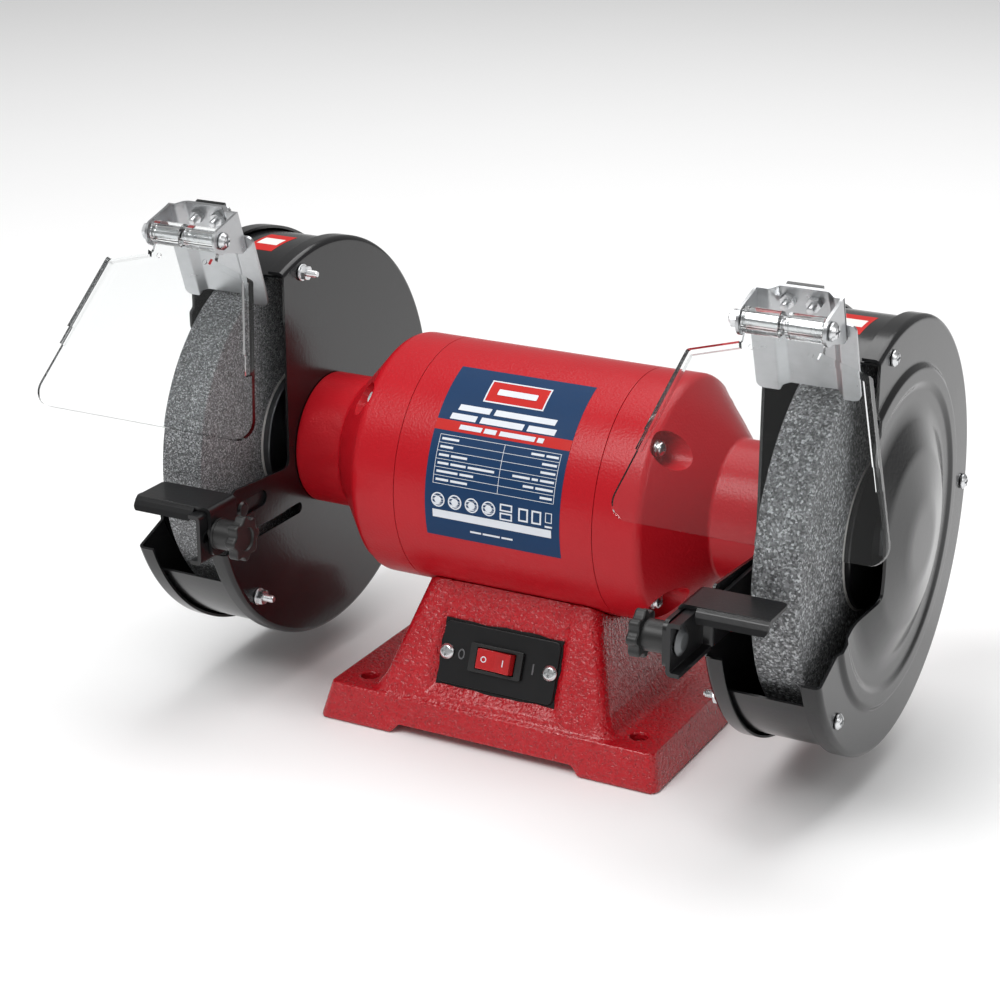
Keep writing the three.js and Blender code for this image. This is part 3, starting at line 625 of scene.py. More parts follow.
def zinc(name, tone, roughness):
    """Zinc plate: metal with soft blotches and faint rolling lines."""
    material, tree, shader = new_material(name, metallic=1.0)
    mask = shared(tree, "mottle", scale=120, contrast=1.8)
    lines = shared(tree, "scratch", scale=700, stretch=0.05)
    both = blend_colours(tree, 0.4, mask, lines)
    tree.links.new(blend_colours(tree, both, shade(tone, 0.82), shade(tone, 1.1)), shader.inputs["Base Color"])
    tree.links.new(span(tree, both, roughness * 0.75, roughness * 1.3), shader.inputs["Roughness"])
    tree.links.new(bump(tree, lines, 0.02, 0.5), shader.inputs["Normal"])
    return material


def abrasive(colours, name, grain):
    """Bonded grey grit: light and dark grains, with open pores darkened by painted shade."""
    material, tree, shader = new_material(name, roughness=0.9, specular_ior_level=0.3)
    place = add(tree, "ShaderNodeTexCoord")
    grains = add(tree, "ShaderNodeTexVoronoi", [("Vector", place.outputs["Object"]), ("Scale", grain)])
    pores = add(
        tree, "ShaderNodeTexNoise",
        [("Vector", place.outputs["Object"]), ("Scale", grain * 0.6), ("Detail", 4.0), ("Roughness", 0.75)],
    )
    clouds = shared(tree, "mottle", scale=18, contrast=1.0)
    base = tuple(colours.grit)
    speck = add(tree, "ShaderNodeSeparateColor", [(0, grains.outputs["Color"])])
    tone = ramp(
        tree, speck.outputs[0],
        [(0.0, shade(base, 0.3)), (0.35, shade(base, 0.85)), (0.7, shade(base, 1.35)), (1.0, shade(base, 3.4))],
    )
    # Painted shade: the pores are darkened down to 0.12 of the grit colour, as the shade inside the voids.
    holes = ramp(tree, pores.outputs["Fac"], [(0.38, 0.12), (0.52, 1.0)])
    tone = blend_colours(tree, 0.85, tone, holes, "MULTIPLY")
    tone = blend_colours(tree, span(tree, clouds, 0.0, 0.35), tone, shade(base, 1.3))
    tree.links.new(tone, shader.inputs["Base Color"])
    height = add(tree, "ShaderNodeMath", [(0, pores.outputs["Fac"]), (1, speck.outputs[1])], operation="ADD")
    tree.links.new(bump(tree, height.outputs[0], 0.35, 0.9), shader.inputs["Normal"])
    return material


def moulded(name, tone, roughness, grain=0.05):
    material, tree, shader = new_material(name)
    mask = shared(tree, "mottle", scale=80, contrast=1.5)
    tree.links.new(blend_colours(tree, mask, shade(tone, 0.8), shade(tone, 1.2)), shader.inputs["Base Color"])
    tree.links.new(span(tree, mask, roughness * 0.85, roughness * 1.2), shader.inputs["Roughness"])
    fine = shared(tree, "peel", scale=1800)
    tree.links.new(bump(tree, fine, grain, 0.6), shader.inputs["Normal"])
    return material


def clear_plastic():
    """Clear polycarbonate with faint swirls in its polish."""
    material, tree, shader = new_material(
        "clear_plastic", transmission_weight=1.0, ior=1.45, base_color=(0.97, 0.985, 0.985, 1), metallic=0.0
    )
    mask = shared(tree, "mottle", scale=70, contrast=2.0)
    tree.links.new(span(tree, mask, 0.0, 0.03), shader.inputs["Roughness"])
    fine = shared(tree, "peel", scale=90)
    tree.links.new(bump(tree, fine, 0.02, 0.1), shader.inputs["Normal"])
    return material


def printed(name, tone, roughness=0.5):
    """Printed film: an even colour with a faint texture and scuffs."""
    material, tree, shader = new_material(name, specular_ior_level=0.2)
    mask = shared(tree, "mottle", scale=140, contrast=1.2)
    tree.links.new(blend_colours(tree, mask, shade(tone, 0.93), shade(tone, 1.05)), shader.inputs["Base Color"])
    tree.links.new(span(tree, mask, roughness * 0.8, roughness * 1.3), shader.inputs["Roughness"])
    fine = shared(tree, "peel", scale=1400)
    tree.links.new(bump(tree, fine, 0.02, 0.4), shader.inputs["Normal"])
    return material


FINISHES = {}


def finish(name):
    """A finish by name, made the first time that it is asked for."""
    colours = bpy.context.scene.grinder_colours
    makers = {
        "hammered": lambda: hammered_enamel(colours),
        "enamel": lambda: smooth_enamel(colours),
        "gloss": lambda: black_enamel(colours, "gloss_black", 0.2, 0.15, 0.05),
        "satin": lambda: black_enamel(colours, "satin_black", 0.3, 0.1, 0.07),
        "zinc": lambda: zinc("zinc_plate", (0.5, 0.51, 0.52), 0.3),
        "bright": lambda: zinc("bright_zinc", (0.72, 0.73, 0.74), 0.28),
        "mark": lambda: moulded("worn_mark", (0.11, 0.11, 0.115), 0.25),
        "dark_steel": lambda: zinc("dark_steel", (0.16, 0.165, 0.17), 0.42),
        "copper": lambda: zinc("copper", (0.5, 0.2, 0.07), 0.4),
        "fine_grit": lambda: abrasive(colours, "fine_abrasive", 1700.0),
        "coarse_grit": lambda: abrasive(colours, "coarse_abrasive", 950.0),
        "black_plastic": lambda: moulded("black_plastic", (0.012, 0.012, 0.012), 0.42),
        "red_plastic": lambda: moulded("red_plastic", (0.45, 0.014, 0.016), 0.25),
        "foam": lambda: moulded("black_foam", (0.006, 0.006, 0.006), 0.9, 0.8),
        "clear": clear_plastic,
        "label": lambda: printed("label_blue", tuple(colours.label)),
        "stripe": lambda: printed("label_red", tuple(colours.stripe)),
        "print": lambda: printed("label_white", (0.72, 0.75, 0.8)),
        "card": lambda: printed("white_card", (0.75, 0.74, 0.71), 0.6),
    }
    if name not in FINISHES:
        FINISHES[name] = makers[name]()
    return FINISHES[name]


def repaint(nodes, name):
    """Gives CAD nodes that stay in view a finish in place of their plain colour."""
    for node in nodes:
        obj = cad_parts[node]
        obj.data.materials.clear()
        obj.data.materials.append(finish(name))


# ---------------------------------------------------------------- base


def build_base(sizes):
    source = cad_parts["base_casting"]
    casting = bpy.data.objects.new("pedestal_casting", source.data.copy())
    bpy.context.scene.collection.objects.link(casting)
    remesh = casting.modifiers.new("skin", "REMESH")
    remesh.mode = "VOXEL"
    remesh.voxel_size = sizes.cast_grain
    relax = casting.modifiers.new("relax", "SMOOTH")
    relax.factor = 0.5
    relax.iterations = 4
    bake(casting)
    settle(casting, "root", finish("hammered"), ["base_casting"], 180)
    repaint(["bottom_cover"], "zinc")


PANEL_TILT = math.radians(21.3)


def on_panel(obj, x=0.0):
    """Moves a piece built about the origin, front towards -Y, on to the sloping switch panel."""
    centre = (x, AXIS.y - 57, 45.75)
    return tilted(obj, -PANEL_TILT, centre)


def rectangle(half_u, half_v, radius=0.0, u=0.0, v=0.0, steps=5):
    corners = [(1, 1), (-1, 1), (-1, -1), (1, -1)]
    return rounded([(u + a * half_u, v + b * half_v, radius) for a, b in corners], steps=steps)


def phillips_screw(name, radius, height, front):
    """A pan head that faces -Y, its seat at y = front, with a cross recess."""
    dome = [(0, 0), (radius, 0), (radius, 0.3 * height, 0.4), (0.72 * radius, 0.86 * height, 1.5), (0, height)]
    bm = turned_mesh(rounded(dome, closed=False), 40, (0, 0))
    bmesh.ops.rotate(bm, verts=bm.verts, matrix=Matrix.Rotation(-math.pi / 2, 3, "Z"))
    bmesh.ops.translate(bm, verts=bm.verts, vec=(0, front, 0))
    head = make(name, bm)
    arm = radius * 0.62
    wide = radius * 0.16
    deep = front - height * 1.2
    bars = [
        prism("bar_a", rectangle(arm, wide), deep, deep + height * 0.8, "Y"),
        prism("bar_b", rectangle(wide, arm), deep, deep + height * 0.8, "Y"),
    ]
    return cut(head, *bars)


def build_switch():
    plate = prism("switch_plate_sheet", rectangle(34.75, 16.75, 3.5), -1.5, -0.3, "Y")
    cut(plate, prism("opening", rectangle(14.3, 7.4, u=-0.75), -5, 5, "Y"))
    soften(plate, 0.35)
    settle(on_panel(plate), "root", finish("satin"), ["switch_plate"])
    foam = prism("switch_gasket", ragged_outline(35.6, 18.3), -0.25, 0.9, "Y")
    cut(foam, prism("opening", rectangle(24, 10), -5, 5, "Y"))
    settle(on_panel(foam), "root", finish("foam"))
    front = -3.8
    bezel = prism("switch_bezel", rectangle(15.75, 7.75, 1.0), front, -1.8, "Y")
    body = prism("body", rectangle(13.7, 7.2), -2, 17.8, "Y")
    join(bezel, body)
    cut(bezel, prism("well", rectangle(11.7, 6.0, 0.4), front - 1, front + 10, "Y"))
    soften(bezel, 0.3)
    settle(on_panel(bezel, -0.75), "root", finish("black_plastic"), ["switch_housing"])
    build_rocker(front)
    for x in (-31, 31):
        side = "left" if x < 0 else "right"
        washer = on_panel(phillips_screw("panel_screw_" + side, 4.2, 2.1, -1.8), x)
        settle(washer, "root", finish("bright"), ["switch_plate_screw_" + side])
    for side, x in (("left", -22.3), ("right", 20.8)):
        mark = panel_mark(side, x)
        settle(on_panel(mark), "root", finish("mark"))


def ragged_outline(half_u, half_v):
    """A hand-cut foam edge: a rectangle whose sides wander a little."""
    points = []
    sides = [((-1, -1), (1, -1)), ((1, -1), (1, 1)), ((1, 1), (-1, 1)), ((-1, 1), (-1, -1))]
    steps = 14
    for number, (a, b) in enumerate(sides):
        for i in range(steps):
            t = i / steps
            u = (a[0] + (b[0] - a[0]) * t) * half_u
            v = (a[1] + (b[1] - a[1]) * t) * half_v
            wave = 0.45 * math.sin(9.1 * t + 2.3 * number) + 0.3 * math.sin(23.7 * t + number)
            points.append((u + (wave if a[0] == b[0] else 0), v + (wave if a[1] == b[1] else 0)))
    return points


def panel_mark(side, x):
    """The embossed off ring or on bar beside the rocker."""
    if side == "right":
        return soften(prism("on_bar", rectangle(0.5, 2.9, u=x), -1.78, -1.45, "Y"), 0.12)
    ring = prism("off_ring", [(x + 0.7 * u, v) for u, v in circle(0, 0, 2.9, 32)], -1.78, -1.45, "Y")
    hole = prism("hole", [(x + 0.6 * u, v) for u, v in circle(0, 0, 2.0, 32)], -3, 0, "Y")
    return soften(cut(ring, hole), 0.12)


def build_rocker(front):
    turn = math.radians(8)
    pivot = -1.5
    section = [
        (-10.8, 2.6, 0.8), (0, 0.9, 9), (10.8, 2.6, 0.8), (10.8, -3, 1), (4, -7, 1), (-4, -7, 1), (-10.8, -3, 1),
    ]

    def placed(u, w):
        rise = w - pivot
        return (u * math.cos(turn) - rise * math.sin(turn), -(pivot + u * math.sin(turn) + rise * math.cos(turn)))

    outline = [placed(u, w) for u, w in rounded(section, steps=6)]
    rocker = prism("rocker_cap", [(u, w + front) for u, w in outline], -5.5, 5.5, "Z")
    soften(rocker, 0.4)
    settle(on_panel(rocker, -0.75), "switch_rocker", finish("red_plastic"), ["switch_rocker"])
    for name, u, shape in (("rocker_off_mark", -6.2, "ring"), ("rocker_on_mark", 6.2, "bar")):
        w = 0.9 + 1.7 * abs(u) / 10.8
        x, y = placed(u, w)
        lean = turn + math.copysign(math.atan2(1.7, 10.8), u)
        if shape == "ring":
            mark = prism(name, circle(0, 0, 1.7, 32), -0.06, 0.1, "Y")
            cut(mark, prism("hole", circle(0, 0, 1.15, 32), -2, 2, "Y"))
        else:
            mark = prism(name, rectangle(0.35, 1.8), -0.06, 0.1, "Y")
        mark.data.transform(Matrix.Translation(Vector((x, y + front, 0)) * MM) @ Matrix.Rotation(-lean, 4, "Z"))
        settle(on_panel(mark, -0.75), "switch_rocker", finish("print"))


# ---------------------------------------------------------------- motor


def build_shell():
    wall = 2.5
    edge = 0.18
    inner = MOTOR_RADIUS - wall
    profile = [
        (inner, -SHELL_END, 0.2), (MOTOR_RADIUS, -SHELL_END, edge),
        (MOTOR_RADIUS, SHELL_END, edge), (inner, SHELL_END, 0.2),
    ]
    shell = turned("motor_tube", rounded(profile), sides=192)
    settle(shell, "root", finish("enamel"), ["motor_shell"])


def bell_profile():
    shoulder = SHELL_END + 25.35
    cone = NECK_END - 27.8
    start = SHELL_END + 0.3
    neck = 37
    outer = [(MOTOR_RADIUS, start, 0.18), (MOTOR_RADIUS, shoulder, 7), (neck, cone, 3), (neck, NECK_END, 0.6)]
    inner = [
        (14, NECK_END), (14, 129), (23.8, 129), (23.8, 104), (32, 98), (50, 77.5), (61, 77),
        (MOTOR_RADIUS - 2.5, 72), (MOTOR_RADIUS - 2.5, start),
    ]
    return rounded(outer + inner, steps=8)


def build_bell(end):
    bell = turned(end.node("motor_bell"), bell_profile(), end.hand, 160)
    tools = []
    seat = SHELL_END + 23.75
    for angle in (45, 135, 225, 315):
        y, z = about_spindle(TIE_CIRCLE, angle)
        pocket = [(0, seat), (9.5, seat, 2.2), (9.7, 126), (0, 126)]
        tools.append(turned("pocket", rounded(pocket, steps=5), end.hand, 48, (y, z)))
        tools.append(rod("bolt_way", 2.9, 70, 95, (y, z), end.hand, 24))
    cut(bell, *tools)
    soften(bell, 0.7, 3, 38)
    settle(bell, "root", finish("enamel"), [end.node("end_bell")], 32)


def hexagon(radius, turn=0.0):
    angles = [turn + math.pi / 2 + math.pi * i / 3 for i in range(6)]
    return [(radius * math.cos(a), radius * math.sin(a)) for a in angles]


def hex_head(name, radius, start, end, centre, hand=1, turn=0.0):
    """A hexagon nut or head along X with the turned chamfer on its outer face."""
    y, z = centre
    nut = prism(name, [(y + u, z + v) for u, v in hexagon(radius, turn)], start, end, "X", hand)
    reach = 1 if end > start else -1
    flat = radius * 0.9
    wide = radius * 1.3
    cone = [(0, start - reach), (wide, start - reach), (wide, end - reach * 1.1), (flat, end), (0, end)]
    trim = turned("trim", cone, hand, 40, centre)
    return combine(nut, [trim], "INTERSECT")


def build_tie_bolts():
    seat = high("tie_bolt_1").x - 5
    for number, angle in enumerate((45, 135, 225, 315), 1):
        centre = about_spindle(TIE_CIRCLE, angle)
        turn = math.radians(angle)
        bolt = rod("tie_rod_%d" % number, 2.5, -seat - 4, seat + 2, centre)
        pan = [
            (0, seat), (4.6, seat, 0.2), (4.6, seat + 1.2, 0.3), (3.9, seat + 1.4, 0.2), (3.9, seat + 3.4, 1.4),
            (1.5, seat + 4.8, 0.8), (0, seat + 4.9),
        ]
        head = turned("head", rounded(pan, closed=False), 1, 40, centre)
        recess = []
        for a, b in ((2.5, 0.5), (0.5, 2.5)):
            cross = [(centre[0] + u, centre[1] + v) for u, v in rectangle(a, b)]
            recess.append(prism("cross", cross, seat + 3.2, seat + 6, "X"))
        cut(head, *recess)
        nut = hex_head("nut", 4.6, -seat, -seat - 3.4, centre, 1, turn + 0.3)
        join(bolt, head, nut)
        settle(bolt, "root", finish("bright"), ["tie_bolt_%d" % number])


# ---------------------------------------------------------------- label


def wrapped(name, outline, lift, thickness=0.06):
    """A thin film on the motor shell: outline in (x, length round the shell from its middle)."""
    bm = prism_mesh(outline, 0, thickness, "Z")
    step = 2.0
    lengths = [v for _, v in outline]
    place = math.floor(min(lengths) / step) * step
    while place < max(lengths):
        geometry = bm.verts[:] + bm.edges[:] + bm.faces[:]
        bmesh.ops.bisect_plane(bm, geom=geometry, plane_co=(0, place, 0), plane_no=(0, 1, 0))
        place += step
    middle_angle = 26.5
    for vert in bm.verts:
        radius = MOTOR_RADIUS + lift + vert.co.z
        angle = middle_angle + math.degrees(vert.co.y / MOTOR_RADIUS)
        y, z = about_spindle(radius, angle)
        vert.co = (vert.co.x, y, z)
    return make(name, bm)


def merged(name, pieces):
    """Several film pieces that don't touch, as one object."""
    bm = bmesh.new()
    for piece in pieces:
        bm.from_mesh(piece.data)
        mesh = piece.data
        bpy.data.objects.remove(piece)
        bpy.data.meshes.remove(mesh)
    mesh = bpy.data.meshes.new(name)
    bm.to_mesh(mesh)
    bm.free()
    obj = bpy.data.objects.new(name, mesh)
    bpy.context.scene.collection.objects.link(obj)
    return obj


def bar(u, v, half_u, half_v, radius=0.0):
    return rectangle(half_u, half_v, radius, u, v, 4)


def rectangle_frame(u, v, half_u, half_v, line):
    """A rectangular frame as one outline, cut through at its lower left corner."""
    slit = 0.01
    outer = [(-half_u, -half_v), (half_u, -half_v), (half_u, half_v), (-half_u, half_v), (-half_u, -half_v + slit)]
    a, b = half_u - line, half_v - line
    inner = [(-a, -b + slit), (-a, b), (a, b), (a, -b), (-a, -b)]
    return [(u + x, v + y) for x, y in outer + inner]


def words(v, half_v, spans, slant=0.35):
    """Blocks that stand for the words of one printed line, each a span along the shell."""
    return [
        [(u0, v - half_v), (u1, v - half_v), (u1 + slant * half_v, v + half_v), (u0 + slant * half_v, v + half_v)]
        for u0, u1 in spans
    ]


def build_label():
    """A plain rating label: a blue field, a red stripe, and unmarked blocks, rules and rings."""
    shape = {"field": [], "red": [], "print": [], "inner": []}
    shape["field"].append(bar(0.5, 0, 39.5, 49.5))
    shape["red"].append(bar(0.5, 11.6, 39.5, 2.9))
    shape["print"].append(rectangle_frame(0.5, 35.2, 17.6, 7.3, 0.8))
    shape["red"].append(bar(0.5, 35.2, 16.8, 6.5, 0.5))
    shape["inner"] += [bar(0.5, 35.2, 11.5, 1.9, 0.6)]
    shape["print"] += words(22.5, 1.7, [(-29, -10.5), (-8, 27.5)])
    shape["print"] += words(17.0, 1.7, [(-32, -17), (-14.5, 10.5), (13, 29)])
    shape["inner"] += words(11.6, 1.3, [(-25, -12), (-10.5, -3.5), (-1.5, 19), (20.5, 24)])
    rules = [6.3 - 4.3 * i for i in range(7)]
    shape["print"] += [bar(0.8, v, 35.2, 0.13) for v in rules]
    height = (rules[0] - rules[-1]) / 2
    centre = (rules[0] + rules[-1]) / 2
    shape["print"] += [bar(u, centre, 0.13, height) for u in (-34.4, 3.6, 36.0)]
    left = ((10,), (7.5,), (6, 9.5), (6.5, 9, 15.5), (12.5, 8), (7.5, 10))
    right = ((7, 7.5), (8.5,), (8.5,), (8, 3.5, 10), (10, 6), (7,))
    for row in range(6):
        v = rules[row] - 2.15
        start = -33
        for length in left[row]:
            shape["print"].append(bar(start + length / 2, v, length / 2, 0.62))
            start += length + 1.2
        stop = 35
        for length in right[row]:
            shape["print"].append(bar(stop - length / 2, v, length / 2, 0.62))
            stop -= length + 1.2
    for i in range(4):
        u = -31.0 + 10.0 * i
        shape["print"].append(circle(u, -28.3, 4.0, 32))
        shape["inner"].append(circle(u, -28.3, 2.0, 24))
    shape["print"] += [
        rectangle_frame(9.2, -26.2, 3.6, 2.0, 0.8), rectangle_frame(9.2, -31.0, 3.6, 2.0, 0.8),
        rectangle_frame(19.2, -28.3, 2.8, 3.6, 0.9), rectangle_frame(26.8, -28.3, 2.8, 3.6, 0.9),
        rectangle_frame(33.8, -27.3, 1.9, 2.7, 0.4), bar(33.8, -32.2, 2.1, 0.5),
    ]
    shape["print"].append(bar(0.5, -36.0, 34.8, 2.2))
    shape["print"] += words(-43.5, 0.55, [(-12.5, -6), (-5, 5), (6, 12.5)], 0.2)
    tones = {"field": "label", "red": "stripe", "print": "print", "inner": "print"}
    for lift, (name, outlines) in zip((0.05, 0.13, 0.21, 0.29), shape.items()):
        films = [wrapped("film", outline, lift) for outline in outlines]
        settle(merged("label_" + name, films), "root", finish(tones[name]))
    rings = [wrapped("film", circle(-31.0 + 10.0 * i, -28.3, 3.3, 32), 0.25, 0.02) for i in range(4)]
    settle(merged("label_discs", rings), "root", finish("label"))


# ---------------------------------------------------------------- spindle and wheels


def build_wheel(end, sizes):
    edge = sizes.wheel_edge / MM
    bore = 8.3
    profile = [
        (bore, WHEEL_IN), (WHEEL_RADIUS, WHEEL_IN, edge), (WHEEL_RADIUS, WHEEL_OUT, edge), (bore, WHEEL_OUT)
    ]
    wheel = turned(end.node("abrasive_wheel"), rounded(profile), end.hand, 192)
    grit = "coarse_grit" if end.hand > 0 else "fine_grit"
    settle(wheel, "spindle", finish(grit), [end.node("grinding_wheel")])
    blotters = (
        ("blotter_in", WHEEL_IN - 0.28, WHEEL_IN - 0.02), ("blotter_out", WHEEL_OUT + 0.02, WHEEL_OUT + 0.28),
    )
    for name, x0, x1 in blotters:
        ring = [(bore + 0.2, x0), (40.8, x0), (40.8, x1), (bore + 0.2, x1)]
        settle(turned(end.node(name), ring, end.hand, 96), "spindle", finish("card"))


def build_flanges(end):
    bore = 8.3
    face = low("inner_flange_right").x
    inner_end = high("inner_flange_right").x
    rim = high("outer_flange_right").z - AXIS.z
    inner = [
        (bore, face), (18, face, 0.8), (20, face + 4, 3), (rim, inner_end - 4, 1), (rim, inner_end, 0.4),
        (28, inner_end), (27, inner_end - 1), (bore, inner_end - 1),
    ]
    piece = turned(end.node("wheel_flange_in"), rounded(inner), end.hand, 96)
    settle(piece, "spindle", finish("dark_steel"), [end.node("inner_flange")])
    start = low("outer_flange_right").x
    outer_end = high("outer_flange_right").x
    outer = [
        (bore, start + 1), (27, start + 1), (28, start), (rim, start, 0.4), (rim, start + 3, 1.2),
        (22, outer_end, 2.5), (bore, outer_end),
    ]
    piece = turned(end.node("wheel_flange_out"), rounded(outer), end.hand, 96)
    settle(piece, "spindle", finish("satin"), [end.node("outer_flange")])
    nut_in = low("spindle_nut_right").x
    nut_out = high("spindle_nut_right").x
    centre = (AXIS.y, AXIS.z)
    nut = hex_head(end.node("wheel_nut"), 13.8, nut_in, nut_out, centre, end.hand)
    cut(nut, rod("bore", bore, nut_in - 1, nut_out + 1, centre, end.hand, 48))
    soften(nut, 0.3)
    settle(nut, "spindle", finish("dark_steel"), [end.node("spindle_nut")])


def build_shaft():
    tip = high("spindle_shaft").x
    steps = [(10, 145.6, 0.5), (8, 145.6, 0.3), (8, tip, 1.0)]
    right = [(0, tip)]
    profile = [(0, -tip)] + [(r, -x, f) for r, x, f in reversed(steps)] + steps + right
    shaft = turned("axle", rounded(profile, closed=False), sides=64)
    settle(shaft, "spindle", finish("bright"), ["spindle_shaft"])


# ---------------------------------------------------------------- guards

SCREW_ANGLES = (76, 182, -41)
SCREW_CIRCLE = 105


def screw_ways(start, end_x, hand):
    tools = []
    for angle in SCREW_ANGLES:
        tools.append(rod("way", 2.4, start, end_x, about_spindle(SCREW_CIRCLE, angle), hand, 20))
    return tools


def build_inner_pan(end, sizes):
    bend = sizes.sheet_bend / MM
    rim = GUARD_RADIUS
    web = PAN_X + SHEET
    lip = PAN_X + LIP_WIDTH
    profile = [
        (14, PAN_X, 0.3), (rim, PAN_X, bend + SHEET), (rim, lip, 0.4), (rim - SHEET, lip, 0.4),
        (rim - SHEET, web, bend), (14, web, 0.3),
    ]
    pan = turned(end.node("guard_back"), rounded(profile, steps=6), end.hand, 192)
    y, z = about_spindle(rim, -18.5)
    front = AXIS.y
    notch = [
        (GUARD_FRONT, 290), (GUARD_FRONT, 129, 5), (front - 99, 133, 3), (front - 100, 103, 4),
        (y + 1.2, z + 0.6), (y - 8, z + 0.4), (front - 130, 110), (front - 130, 290),
    ]
    tools = [
        prism("notch", rounded(notch, steps=6), PAN_X - 5, lip + 5, "X", end.hand),
        prism("short_slot", slot(front - 96, front - 67, 120, 4.5), PAN_X - 2, web + 2, "X", end.hand),
        prism("long_slot", slot(front - 78, front - 32, 102.2, 3.2), PAN_X - 2, web + 2, "X", end.hand),
        *screw_ways(PAN_X - 2, web + 2, end.hand),
    ]
    cut(pan, *tools)
    settle(pan, "root", finish("gloss"), [end.node("guard_inner_pan")])


def unit_point(end, w, v):
    """A point of the tilted sheets: w forward of the wings' front, v up the sheet from the hinge."""
    turn = math.radians(19)
    y = end.pivot.y + 20 - w * math.cos(turn) - v * math.sin(turn)
    z = end.pivot.z - w * math.sin(turn) + v * math.cos(turn)
    return (y, z)


def build_band(end):
    radius = GUARD_RADIUS - SHEET - 1.4
    start_x = PAN_X + SHEET + 0.3
    end_x = COVER_X - SHEET - 0.3
    steps = 130
    angles = [68 + (329 - 68) * i / steps for i in range(steps + 1)]
    outline = [about_spindle(radius, a) for a in angles]
    outline += [about_spindle(radius - 1.2, a) for a in reversed(angles)]
    band = prism(end.node("guard_rim"), outline, start_x, end_x, "X", end.hand)
    line = [
        unit_point(end, -7.9, 12), unit_point(end, -7.9, -19),
        about_spindle(radius - 0.6, 69), about_spindle(radius - 0.6, 76),
    ]
    strap = prism("strap", strip(line, -2, 4), 162, 180, "X", end.hand)
    join(band, strap)
    settle(band, "root", finish("gloss"), [end.node("guard_band")])
    build_sticker(end, radius)


def build_sticker(end, radius):
    """A small unmarked caution patch on the top of the guard's rim."""
    layers = (("caution_patch", "stripe", 8.5, 13.5, 0.04), ("caution_panel", "card", 6.4, 5.0, 0.1))
    for name, tone, half_u, half_v, lift in layers:
        bm = prism_mesh(bar(0, 0, half_u, half_v), 0, 0.05, "Z")
        for k in range(-6, 7):
            geometry = bm.verts[:] + bm.edges[:] + bm.faces[:]
            bmesh.ops.bisect_plane(bm, geom=geometry, plane_co=(0, 2.0 * k + 0.01, 0), plane_no=(0, 1, 0))
        for vert in bm.verts:
            y, z = about_spindle(radius + lift + vert.co.z, 87 + math.degrees(vert.co.y / radius))
            vert.co = (WHEEL_X - 1 + vert.co.x, y, z)
        settle(make(end.node(name), bm, end.hand), "root", finish(tone))


def cover_profile(sizes):
    bend = sizes.sheet_bend / MM
    rim = GUARD_RADIUS
    top = COVER_TOP_X
    face = [
        (rim, COVER_LIP_X, 0.4), (rim, COVER_X, bend + SHEET), (89.5, COVER_X, 3), (86.8, 200.3, 3),
        (80, 200.3, 4), (76.5, 198.7, 5), (66, 198.7, 30), (46, 206.0, 30), (20, top - 0.2, 60), (0, top),
    ]
    back = [
        (0, top - SHEET), (20, top - 0.2 - SHEET, 60), (45.4, 206.0 - SHEET, 30), (65.6, 198.7 - SHEET, 30),
        (76, 198.7 - SHEET, 5), (79.4, 200.3 - SHEET, 4), (86.2, 200.3 - SHEET, 3), (89, COVER_X - SHEET, 3),
        (rim - SHEET, COVER_X - SHEET, bend), (rim - SHEET, COVER_LIP_X, 0.4),
    ]
    return rounded(face, closed=False, steps=7), rounded(back, closed=False, steps=7)


def build_cover(end, sizes):
    face, back = cover_profile(sizes)
    cover = turned(end.node("guard_front"), face + back, end.hand, 192)
    y, z = about_spindle(GUARD_RADIUS, -21.5)
    far = AXIS.y - 130
    notch = [
        (GUARD_FRONT, 290), (GUARD_FRONT, 117, 6), (y, z), (y - 14, z - 5.3), (far, z - 5.3), (far, 290)
    ]
    tools = [
        prism("notch", rounded(notch, steps=8), COVER_X - 20, COVER_X + 30, "X", end.hand),
        *screw_ways(COVER_X - 5, COVER_X + 5, end.hand),
    ]
    cut(cover, *tools)
    settle(cover, "root", finish("gloss"), [end.node("guard_outer_cover")])


def build_cover_screws(end):
    for number, angle in enumerate(SCREW_ANGLES, 1):
        centre = about_spindle(SCREW_CIRCLE, angle)
        seat = COVER_X + 0.3
        back = PAN_X - 0.3
        thread = [(1.65 + 0.35 * (i % 2), back - 9.4 + 0.4 * i) for i in range(22)]
        shape = [
            (0, back - 10), (1.5, back - 10), *thread, (2, back), (2, seat), (4.2, seat, 0.2),
            (4.2, seat + 1.0, 0.5),
            (2.6, seat + 2.5, 1.2), (0, seat + 2.6),
        ]
        screw = turned(end.node("cover_bolt_%d" % number), rounded(shape, closed=False), end.hand, 40, centre)
        recess = []
        for a, b in ((2.7, 0.55), (0.55, 2.7)):
            outline = [(centre[0] + u, centre[1] + v) for u, v in rectangle(a, b)]
            recess.append(prism("cross", outline, seat + 1.2, seat + 4, "X", end.hand))
        cut(screw, *recess)
        washer = turned(
            "washer", rounded([(0, back - 1), (4.7, back - 1, 0.3), (4.7, back, 0.2), (0, back)], closed=False),
            end.hand, 40, centre,
        )
        nut = hex_head("nut", 4.2, back - 0.9, back - 4.2, centre, end.hand, math.radians(angle))
        join(screw, washer, nut)
        settle(screw, "root", finish("bright"), [end.node("cover_screw") + "_%d" % number])


# ---------------------------------------------------------------- tool rests


